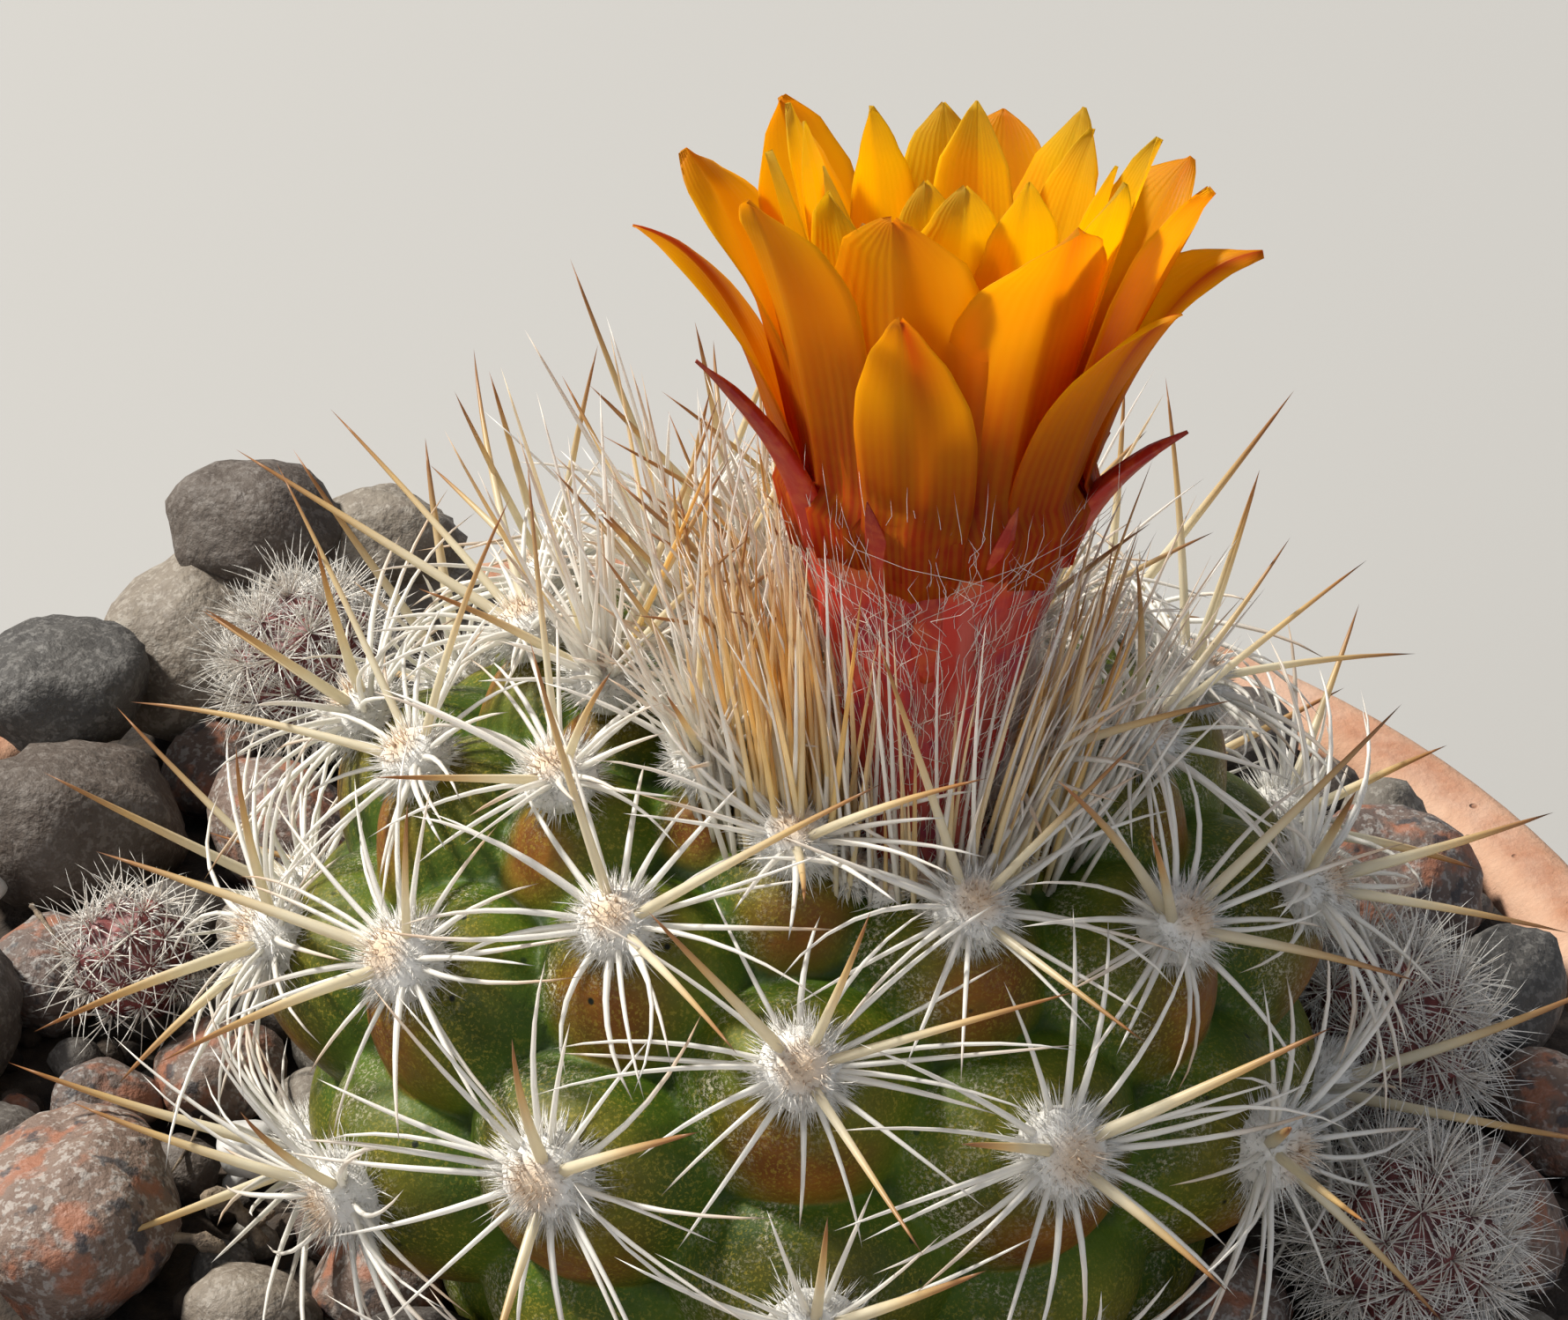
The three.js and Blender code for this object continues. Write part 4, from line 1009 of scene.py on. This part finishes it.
def tube_scales(random):
    """Slender scales that stand off the tube, and thick fleshy ones at its sides"""
    shape = Shape()
    number = sum(len(w["turns"]) for w in SCALE_WHORLS)
    corner, width = cells(number)
    share = np.linspace(0, 1, 16)
    widths = np.interp(share, [0, 0.25, 0.55, 0.85, 1], [0.7, 1, 0.85, 0.35, 0.03])
    made = 0
    for whorl in SCALE_WHORLS:
        for degrees in whorl["turns"]:
            low = whorl["root"] - 1.2
            lean = math.radians(whorl["lean"])
            out, up = whorl["length"] * math.sin(lean), whorl["length"] * math.cos(lean)
            root = tube_radius(whorl["root"])
            bend, end = (root + 0.5, whorl["root"] + 0.5 * up), (root + out, whorl["root"] + up)
            line = bezier((tube_radius(low) - 0.25, low), bend, end, len(share))
            fleshy = whorl["length"] > 5
            half = random.uniform(0.8, 0.95) if fleshy else random.uniform(0.42, 0.56)
            cup, thick = (1.3, 0.85) if fleshy else (0.7, 0.45)
            blade(shape, line, widths, half, math.radians(degrees), cup, thick,
                  (corner[made], width), midrib(0, 0), random)
            made += 1
    return shape


def tube_hairs(draws):
    """Cobwebby hairs that lie and tangle over the tube, with a few that stand off"""
    shape = Shape()
    number = 1200
    height = draws.uniform(0.2, TUBE_HEIGHT - 1.6, number)
    turn = draws.uniform(0, TAU, number)
    loose = draws.uniform(size=number) < 0.2
    lift = np.where(loose, draws.uniform(0.5, 1.7, number), draws.uniform(0.05, 0.35, number))
    climb = draws.uniform(1.0, 4.2, number)
    swing = draws.normal(0, 1, number) * np.where(loose, 0.3, 0.09)
    steps = 6
    share = np.linspace(0, 1, steps)[None]
    waves, start = draws.uniform(3, 10, (number, 1)), draws.uniform(0, TAU, (number, 1))
    wave = np.where(loose, 0.2, 0.06)[:, None] * np.sin(share * waves + start)
    h = height[:, None] + climb[:, None] * share
    t = turn[:, None] + swing[:, None] * share + wave * 0.5
    r = tube_radius(h) + lift[:, None] * np.sin(share * math.pi * 0.62) + wave * 0.6 - 0.05
    paths = in_flower(around(r, t, h))
    radii = np.repeat(0.014 * (1 - 0.4 * share), number, 0)
    tints = np.stack([draws.uniform(0, 1, number), draws.uniform(0, 0.8, number)], -1)
    strands(shape, paths, radii, 3, tints)
    return shape


def stamens(random):
    """Filaments in a spiral from the cup's floor to its wall, each with an anther"""
    filaments, anthers = Shape(), Shape()
    paths, radii, tints = [], [], []
    ball = ball_points(5, 7)
    for k in range(90):
        turn = k * GOLDEN
        low = random.uniform(0.05, 4.4)
        foot = 1.6 + 0.22 * low
        height = random.uniform(9.2, 14.4) - 0.25 * low
        lean = random.uniform(0.2, 1.2)
        share = np.linspace(0, 1, 7)
        twist = random.uniform(-0.15, 0.15) * share
        path = around(foot + lean * share**1.4, turn + twist, CUP_FLOOR + low + (height - low) * share)
        paths.append(in_flower(path))
        radii.append(0.075 * (1 - 0.35 * share))
        tints.append((random.random(), random.random()))
        tilt = unit(np.array([random.uniform(-1, 1), random.uniform(-1, 1), random.uniform(0.2, 1)]))
        side = unit(np.cross(tilt, [0.3, 0.9, 0.1]))
        shape_ = np.stack([0.2 * side, 0.16 * np.cross(tilt, side), 0.42 * tilt])
        grid(anthers, (in_flower(path)[-1] + ball @ shape_)[:, ::-1], None, None, wrap=True)
    strands(filaments, np.array(paths), np.array(radii), 4, tints)
    return filaments, anthers


def style(random):
    """A stout style with nine spread stigma lobes"""
    shape = Shape()
    share = np.linspace(0, 1, 9)
    path = np.stack([0.15 * np.sin(2 * share), 0.1 * share, CUP_FLOOR + 13 * share], -1)
    strands(shape, in_flower(path)[None], 0.5 * np.ones((1, 9)) * (1 + 0.2 * share), 12, [(0.4, 0.3)])
    paths = []
    for k in range(9):
        turn = TAU * k / 9
        line = np.linspace(0, 1, 7)
        lobe = around(0.1 + 1.25 * line, turn, CUP_FLOOR + 12.6 + 1.9 * line - 0.35 * line**3)
        paths.append(in_flower(lobe))
    radii = np.repeat(0.28 * (1 - 0.5 * np.linspace(0, 1, 7)[None] ** 3), 9, 0)
    strands(shape, np.array(paths), radii, 8, [(random.random(), 0.2) for _ in range(9)])
    return shape


# Offsets


def offset_head(name, draws, random):
    """A small head: its tubercled ball, and its wool and hair-like bristles"""
    x, y, z, radius = OFFSETS[name]
    centre = np.array([x, y, z])
    bare = name == "offset_left_front"
    number = 34
    k = np.arange(number)
    high = 1 - 1.72 * (k + 0.5) / number
    wide = np.sqrt(1 - high**2)
    heads = np.stack([wide * np.cos(k * GOLDEN), wide * np.sin(k * GOLDEN), high], -1)
    rows, columns = 40, 64
    ball = ball_points(rows, columns, 0.02)
    near = np.arccos(np.clip(ball @ heads.T, -1, 1)).min(-1)
    bumps = np.clip(1 - (near / 0.33) ** 2, 0, 1)
    points = centre + ball * (radius * (0.86 + 0.13 * bumps))[..., None]
    body = Shape()
    tint = np.stack([bumps, bumps, 0 * bumps], -1)
    grid(body, points[:, ::-1], tint[:, ::-1], None, wrap=True)
    for row, pole in ((0, 1), (rows - 1, -1)):
        end = centre + np.array([0, 0, pole * radius * 0.9])
        fan(body, end, row * columns, columns, pole < 0, [[0.5, 0.5, 0]])
    hairs = Shape()
    paths, radii, tints = [], [], []
    for head in heads:
        if head[2] < -0.45:
            continue
        start = centre + 0.93 * radius * head
        wool, number = (0.3, 70) if bare else (0.48, 92)
        wool_hairs(hairs, start, head, wool * radius, number, draws, 0.3, 0.028)
        side = unit(np.cross(head, [0.2, 0.4, 0.9]))
        over = np.cross(head, side)
        bristles = 12 if bare else 33
        for j in range(bristles):
            spin = TAU * (j + 0.6 * random.random()) / bristles
            rise = random.uniform(0.05, 0.95) if j % 4 else random.uniform(0.9, 1.4)
            flat = math.cos(spin) * side + math.sin(spin) * over
            heading = math.cos(rise) * flat + math.sin(rise) * head
            length = radius * random.uniform(0.62, 1.3 if bare else 1.1)
            share = np.linspace(0, 1, 6)[:, None]
            path = start + share * heading * length - share**2 * 0.18 * length * head
            if path[:, 2].min() < 73.6:
                continue
            paths.append(path)
            radii.append(tapered(0.042, 6, 0.6))
            tints.append((random.random(), 0.25 * random.random()))
    strands(hairs, np.array(paths), np.array(radii), 3, tints)
    return body, hairs


# Dressing


def stone(shape, centre, half, turn, random, tone, warmth, rows=14, columns=22):
    """A water-worn pebble: a ball drawn out, flattened on a few faces and softly lumped"""
    ball = ball_points(rows, columns)
    reach = np.ones(ball.shape[:2])
    for _ in range(5):
        facing = unit(np.array([random.uniform(-1, 1) for _ in range(3)]))
        depth = random.uniform(0.68, 0.9)
        push = (ball @ facing) * reach
        cut = reach * (0.35 + 0.65 * depth / np.maximum(push, 1e-6))
        reach = np.where(push > depth, cut, reach)
    seed = Vector((random.uniform(0, 90), random.uniform(0, 90), random.uniform(0, 90)))
    lumps = np.array([[noise.noise(Vector(p * 1.6) + seed) + 0.4 * noise.noise(Vector(p * 4.5) + seed)
                       for p in row] for row in ball])
    lumps[0], lumps[-1] = lumps[0].mean(), lumps[-1].mean()
    reach[0], reach[-1] = reach[0].mean(), reach[-1].mean()
    body = ball * (reach * (1 + 0.12 * lumps))[..., None]
    body = body * np.array([1, random.uniform(0.7, 0.95), 0.72 * random.uniform(0.9, 1.1)]) * half
    roll, pitch = random.uniform(-0.3, 0.3), random.uniform(-0.3, 0.3)
    points = centre + body @ (turned("z", turn) @ turned("y", pitch) @ turned("x", roll)).T
    tint = [[tone, warmth, 0]]
    first, last = shape.count, shape.count + (rows - 3) * columns
    r, c = np.meshgrid(np.arange(rows - 3), np.arange(columns), indexing="ij")
    n = (c + 1) % columns
    quads = np.stack([r * columns + c, (r + 1) * columns + c, (r + 1) * columns + n, r * columns + n], -1)
    shape.add(points[1:-1], quads, (), np.tile(tint, ((rows - 2) * columns, 1)))
    fan(shape, points[0, 0], first, columns, True, tint)
    fan(shape, points[-1, 0], last, columns, False, tint)


def strewn(random, reach):
    """A place drawn evenly from a disc, as its distance, turn, x and y"""
    distance, turn = reach * math.sqrt(random.random()), random.uniform(0, TAU)
    return distance, turn, distance * math.cos(turn), distance * math.sin(turn)


def clear_of_plant(x, y, half):
    """Whether a stone of a half width stays off the stem's foot and the offsets"""
    if math.hypot(x - STEM[0], y - STEM[1]) < PEBBLE_CLEAR + 0.8 * half:
        return False
    return all(math.hypot(x - ox, y - oy) > 0.72 * (r + half) for ox, oy, _, r in OFFSETS.values())


def dressing(random):
    """Pebbles of three kinds: the large ones in their places, then smaller ones that fill
    what is left, the smallest last"""
    kinds = {"granite": Shape(), "grey": Shape(), "pale": Shape(), "quartz": Shape()}
    order = ["pale", "pale", "pale", "grey", "grey", "grey", "granite", "grey", "granite", "grey"]
    placed, tops = [], []
    for (x, y, z, half, turn), kind in zip(LARGE_STONES, order):
        stone(kinds[kind], (x, y, z), half * 1.08, turn, random, random.random() * 0.5,
              random.random(), 22, 34)
        placed.append((x, y, half))
    for x, y, z, half in QUARTZ:
        stone(kinds["quartz"], (x, y, z), half, 0.4, random, 0.1, 0.1, 14, 22)
        placed.append((x, y, half))
    wanted = [(3.6, 70), (2.7, 900), (1.9, 2600), (1.2, 5200)]
    names = ("granite", "grey", "pale")
    for half, tries in wanted:
        for _ in range(tries):
            distance, _, x, y = strewn(random, STREWN_RADIUS + 0.6)
            size = half * random.uniform(0.85, 1.15)
            if distance > 35.9 - 0.75 * size:
                continue
            near = any((x - px) ** 2 + (y - py) ** 2 < (0.86 * (size + ph)) ** 2 for px, py, ph in placed)
            if near or not clear_of_plant(x, y, size):
                continue
            placed.append((x, y, size))
            z = 72.7 + 0.45 * size + 0.25 * random.random()
            detail = (14, 22) if size > 2.2 else (10, 16) if size > 1.5 else (8, 12)
            kind = names[min(2, int(3.2 * random.random()))]
            stone(kinds[kind], (x, y, z), size, random.uniform(0, TAU), random, random.random(),
                  random.random(), *detail)
            tops.append((x, y, z + 0.62 * size))
    for _ in range(34):
        _, turn, x, y = strewn(random, STREWN_RADIUS)
        size = random.uniform(0.4, 0.8)
        if clear_of_plant(x, y, size):
            stone(kinds["quartz"], (x, y, 73.3), size, turn, random, 0.1, 0.1, 7, 10)
    return kinds, tops


def debris(tops, random):
    """Bits of root and twig, crusted with soil, that lie on the pebbles"""
    shape = Shape()
    share = np.linspace(0, 1, 12)[:, None]
    paths, radii, tints = [], [], []
    spots = [(-17.4, -10.8, 75.6), (-15.8, -9.6, 75.8)] + [tops[(7 * k) % len(tops)] for k in range(26)]
    for k, spot in enumerate(spots):
        thick = 0.34 if k < 2 else random.uniform(0.08, 0.2)
        heading = around(1.0, random.uniform(0, TAU), 1.1 if k == 1 else random.uniform(-0.05, 0.25))
        length = 3.2 if k < 2 else random.uniform(2, 4.5)
        wave = around(random.uniform(-0.9, 0.9), random.uniform(0, TAU), random.uniform(0, 0.4))
        path = np.array(spot) + (share - 0.5) * length * unit(heading) + np.sin(math.pi * share) * wave
        if np.hypot(path[:, 0], path[:, 1]).max() > 35.5:
            continue
        lumps = np.array([random.uniform(0.6, 1.3) for _ in share])
        paths.append(path)
        radii.append(thick * lumps)
        tints.append((0, 0))
    strands(shape, np.array(paths), np.array(radii), 6, tints)
    return shape


def grit(random):
    """Crumbs of soil between the pebbles, on a lumpy bed that fills the pot to below its rim"""
    shape = Shape()
    rows, columns = 40, 110
    rings = np.linspace(0.3, BED_RADIUS, rows)[:, None]
    turns = (TAU * np.arange(columns) / columns)[None]
    x, y = rings * np.cos(turns), rings * np.sin(turns)

    def height(a, b):
        swell = 0.55 * noise.noise(Vector((a * 0.45, b * 0.45, 3.0)))
        return BED_TOP + swell + 0.3 * noise.noise(Vector((a * 1.3, b * 1.3, 8.0)))

    z = np.array([[height(a, b) for a, b in zip(ra, rb)] for ra, rb in zip(x, y)])
    top = np.stack([x, y, z], -1)
    wall = top[-1:].copy()
    wall[..., 2] = BED_FOOT
    grid(shape, np.concatenate([top, wall]), None, None, wrap=True)
    fan(shape, (0, 0, z[0].mean()), 0, columns, True)
    fan(shape, (0, 0, BED_FOOT), rows * columns, columns, False)
    for _ in range(560):
        _, turn, x, y = strewn(random, STREWN_RADIUS)
        if math.hypot(x - STEM[0], y - STEM[1]) < CRUMB_CLEAR:
            continue
        size = random.uniform(0.3, 0.95)
        stone(shape, (x, y, 72.7 + 0.3 * size), size, turn, random, 0.5, 0.5, 6, 8)
    return shape


# Pot


def pot_shape():
    """The pot's section with rounded edges, turned about its axis"""
    p = POT
    shoulder = p["height"] - p["rim_band"]
    low_inner = p["foot_radius"] - p["wall"]
    corners = [
        (p["drain_radius"], 0.0), (p["foot_radius"], 0.0), (p["rim_radius"] - p["rim_step"], shoulder),
        (p["rim_radius"], shoulder), (p["rim_radius"], p["height"]), (p["rim_inner"], p["height"]),
        (low_inner, p["floor"]), (p["drain_radius"], p["floor"]),
    ]
    rounds = [0.5, 1.0, 0.6, 1.2, 1.3, 1.3, 2.5, 0.5]
    profile, worn = [], []
    for i, (corner, bend) in enumerate(zip(corners, rounds)):
        here, before, after = (np.array(corners[j % len(corners)], float) for j in (i, i - 1, i + 1))
        one = here + unit(before - here) * bend
        two = here + unit(after - here) * bend
        for t in np.linspace(0, 1, 7):
            profile.append((1 - t) ** 2 * one + 2 * t * (1 - t) * here + t**2 * two)
            worn.append(math.sin(math.pi * t) if i in (1, 3, 4, 5) else 0)
        # Points between two corners, so that the bloom can vary up the wall
        gap = np.linalg.norm(after - here)
        extra = 12 if gap > 30 else 4 if gap > 8 else 0
        close = after - unit(after - here) * rounds[(i + 1) % len(corners)]
        for t in np.linspace(0, 1, extra + 2)[1:-1]:
            profile.append(two + (close - two) * t)
            worn.append(0)
    profile = np.array(profile)
    columns = 128
    turn = TAU * np.arange(columns) / columns
    r, t = np.meshgrid(profile[:, 0], turn, indexing="ij")
    z = np.repeat(profile[:, 1:], columns, 1)
    points = around(r, t, z)
    bloom = np.clip(1.1 - np.abs(z - 54) / 10, 0, 1) + np.clip(1 - z / 16, 0, 1) + 0.35 * (z > 60)
    tint = np.stack([np.repeat(np.array(worn)[:, None], columns, 1), np.clip(bloom, 0, 1), 0 * z], -1)
    shape = Shape()
    length = np.concatenate([[0], np.cumsum(np.linalg.norm(np.diff(profile, axis=0), axis=1))])
    v = np.repeat((0.01 + 0.97 * length / (length[-1] + 2))[:, None], columns, 1)
    lies = np.stack([0.005 + 0.985 * t / TAU, v], -1)
    grid(shape, points, tint, lies, wrap=True)
    rows = len(profile)
    k = np.arange(columns)
    n = (k + 1) % columns
    shape.quads.append(np.stack([(rows - 1) * columns + k, (rows - 1) * columns + n, n, k], -1))
    return shape


def soil_shape():
    """The plug of soil, seen only through the drain hole"""
    shape = Shape()
    low = POT["floor"] + 0.3
    profile = np.array([(low, SOIL_FOOT_RADIUS), (SOIL_TOP, SOIL_RADIUS)])
    columns = 96
    turn = TAU * np.arange(columns) / columns
    points = np.stack([around(r, turn, z) for z, r in profile])
    grid(shape, points, None, None, wrap=True)
    fan(shape, (0, 0, low), 0, columns, False)
    fan(shape, (0, 0, SOIL_TOP), columns, columns, True)
    return shape


# Assembly


class Draws:
    """Repeatable draws with the few calls that the shapes use"""

    def __init__(self, seed):
        self.draw = repeatable(seed)

    def random(self):
        return self.draw()

    def uniform(self, low, high):
        return low + (high - low) * self.draw()


def build():
    """Every piece, with its material and the node that it replaces"""
    draws = np.random.Generator(np.random.PCG64(4))
    skin, wool = skin_material(), wool_material()
    radial = spine_material("radial_spine", (0.0, (0.74, 0.68, 0.54)), (0.2, (0.94, 0.925, 0.88)),
                            (1.0, (0.95, 0.93, 0.89)), warm=(0.66, 0.42, 0.2), share=0.4, pale=0.06)
    central = spine_material("central_spine", (0.0, (0.8, 0.73, 0.56)), (0.42, (0.88, 0.81, 0.62)),
                             (0.7, (0.78, 0.58, 0.27)), (0.88, (0.52, 0.26, 0.08)),
                             (1.0, (0.2, 0.06, 0.025)), warm=(0.4, 0.17, 0.05), share=0.45)
    golden = spine_material("crown_spine", (0.0, (0.95, 0.86, 0.6)), (0.3, (0.97, 0.77, 0.36)),
                            (0.72, (0.93, 0.62, 0.18)), (1.0, (0.4, 0.16, 0.04)),
                            warm=(0.55, 0.26, 0.07), share=0.55, pale=0.85, faded=(0.95, 0.89, 0.72))
    piece("stem_skin", stem_skin(), skin, "cactus_skin", "stem")
    pads, tufts = areole_wool(draws, Draws(21))
    piece("wool_pads", pads, wool, "wool", "stem")
    piece("wool_hairs", tufts, wool, "wool", "stem")
    piece("radial_spines", radial_spines(Draws(31)), radial, "spine", "stem")
    piece("central_spines", central_spines(Draws(32)), central, "spine", "stem")
    brush, bristles = crown_spines(Draws(33))
    piece("crown_spines", brush, golden, "spine", "stem")
    piece("crown_bristles", bristles, radial, "spine", "stem")

    orange = tepal_material("orange_petal", (0.64, 0.055, 0.01), (0.9, 0.52, 0.004),
                            (0.8, 0.36, 0.012), (0.92, 0.6, 0.01))
    yellow = tepal_material("yellow_petal", (0.9, 0.4, 0.004), (0.93, 0.66, 0.006),
                            (0.66, 0.48, 0.06), (0.95, 0.74, 0.02))
    pollen = plain_material("pollen", (0.75, 0.5, 0.1), (0.95, 0.8, 0.3), 0.4, 0.8)
    cream = plain_material("stigma", (0.75, 0.66, 0.35), (0.93, 0.88, 0.62), 0.5, 0.6)
    petal_draws = repeatable(3)
    piece("tube", flower_tube(), tube_material(), "flower_tube", "flower_tube")
    piece("tube_scales", tube_scales(Draws(42)), scale_material(), "flower_tube", "flower_tube")
    piece("tube_hairs", tube_hairs(draws), wool, "wool", "flower_tube")
    outer = petal_rows(OUTER_ROWS, petal_draws, Draws(43), (1.0, 0.3))
    piece("outer_petals", outer, orange, "orange_petal", "outer_tepals")
    inner = petal_rows(INNER_ROWS, petal_draws, Draws(44), (0.0, 0.0))
    piece("inner_petals", inner, yellow, "yellow_petal", "inner_tepals")
    filaments, anthers = stamens(Draws(45))
    piece("filaments", filaments, pollen, "pollen", "stamens")
    piece("anthers", anthers, pollen, "pollen", "stamens")
    piece("style_and_lobes", style(Draws(46)), cream, "stigma", "style")

    purple = plain_material("offset_skin", (0.06, 0.01, 0.012), (0.2, 0.045, 0.04), 0.9, 0.55)
    for number, name in enumerate(OFFSETS):
        body, hairs = offset_head(name, draws, Draws(51 + number))
        piece(f"{name}_body", body, purple, "offset_skin", name)
        piece(f"{name}_hairs", hairs, wool, "wool", name)

    stones, tops = dressing(Draws(61))
    # Each stone's dark and light ground, its grains' colour and share, and its mottle's size
    looks = {
        "granite": ("granite", (0.085, 0.055, 0.046), (0.19, 0.14, 0.115), (0.32, 0.3, 0.28), 0.8, 2.4),
        "grey": ("grey_stone", (0.028, 0.027, 0.026), (0.08, 0.076, 0.07), (0.18, 0.172, 0.16), 0.5, 3.0),
        "pale": ("pale_stone", (0.1, 0.088, 0.072), (0.22, 0.2, 0.165), (0.36, 0.34, 0.3), 0.45, 3.5),
    }
    for kind, values in looks.items():
        piece(f"{kind}_pebbles", stones[kind], stone_material(*values), "pebbles", "gravel")
    quartz = plain_material("quartz", (0.5, 0.49, 0.47), (0.78, 0.77, 0.75), 1.4, 0.4, 0.08, 0.2)
    piece("quartz_pebbles", stones["quartz"], quartz, "pebbles", "gravel")
    crust = plain_material("debris", (0.06, 0.043, 0.03), (0.26, 0.2, 0.14), 0.7, 0.95, 0.35)
    piece("debris", debris(tops, Draws(63)), crust, "soil", "gravel")
    earth = plain_material("soil", (0.012, 0.009, 0.007), (0.055, 0.038, 0.026), 1.3, 0.95, 0.4)
    piece("grit", grit(Draws(62)), earth, "soil", "gravel")
    piece("soil_plug", soil_shape(), earth, "soil", "soil")
    piece("clay_pot", pot_shape(), clay_material(), "clay", "pot")


def floor():
    """A plain pale floor, six metres wide"""
    made = bpy.data.meshes.new("floor")
    half = 3.0
    corners = [(-half, -half, 0), (half, -half, 0), (half, half, 0), (-half, half, 0)]
    made.from_pydata(corners, [], [(0, 1, 2, 3)])
    plane = bpy.data.objects.new("floor", made)
    material = Nodes("floor", 0.9, Base_Color=(0.36, 0.355, 0.345, 1)).material
    made.materials.append(material)
    bpy.context.scene.collection.objects.link(plane)


def lamp(name, place, size, power, colour, aim):
    data = bpy.data.lights.new(name, "AREA")
    data.shape, data.size, data.energy, data.color = "DISK", size, power, colour
    made = bpy.data.objects.new(name, data)
    made.location = place
    made.rotation_mode = "QUATERNION"
    made.rotation_quaternion = (Vector(aim) - Vector(place)).to_track_quat("-Z", "Y")
    bpy.context.scene.collection.objects.link(made)


def studio():
    """A high key light from the left behind, soft light from the front, and a pale sky"""
    aim = STEM * MM
    lamp("key", aim + np.array([-1.6, 0.75, 1.8]), 0.3, 124.0, (1.0, 0.96, 0.88), aim)
    lamp("fill", aim + np.array([1.2, -1.5, 1.0]), 1.4, 6.5, (0.84, 0.91, 1.0), aim)
    lamp("front", aim + np.array([-1.0, -1.7, 1.1]), 0.8, 9.0, (1.0, 0.98, 0.95), aim)
    world = bpy.data.worlds.new("world")
    world.use_nodes = True
    background = world.node_tree.nodes["Background"]
    background.inputs["Color"].default_value = (0.86, 0.9, 1.0, 1)
    background.inputs["Strength"].default_value = 0.3
    bpy.context.scene.world = world
    bpy.context.scene.view_settings.view_transform = "Standard"


# The photo's camera, fitted to the stem's areoles: its height over the horizon in degrees,
# its distance from the stem, and how far it is shifted up and to the left
CAMERA_ELEVATION, CAMERA_DISTANCE, CAMERA_UP, CAMERA_LEFT = 34.3, 194, 11.64, 0.582
# Its focal length and the photo's width in the photo's pixels, and the sensor's width
FOCAL_PIXELS, PHOTO_WIDTH, SENSOR = 6029, 1780, 36


def camera():
    """Where the photograph was taken from"""
    elevation = math.radians(CAMERA_ELEVATION)
    ahead = np.array([0, math.cos(elevation), -math.sin(elevation)])
    up = np.array([0, math.sin(elevation), math.cos(elevation)])
    place = STEM - CAMERA_DISTANCE * ahead + CAMERA_UP * up - np.array([CAMERA_LEFT, 0, 0])
    data = bpy.data.cameras.new("camera")
    data.sensor_width, data.lens = SENSOR, SENSOR * FOCAL_PIXELS / PHOTO_WIDTH
    data.clip_start, data.clip_end = 0.005, 20
    made = bpy.data.objects.new("camera", data)
    made.location = place * MM
    made.rotation_euler = (math.pi / 2 - elevation, 0, 0)
    bpy.context.scene.collection.objects.link(made)
    bpy.context.scene.camera = made


build()
floor()
studio()
camera()
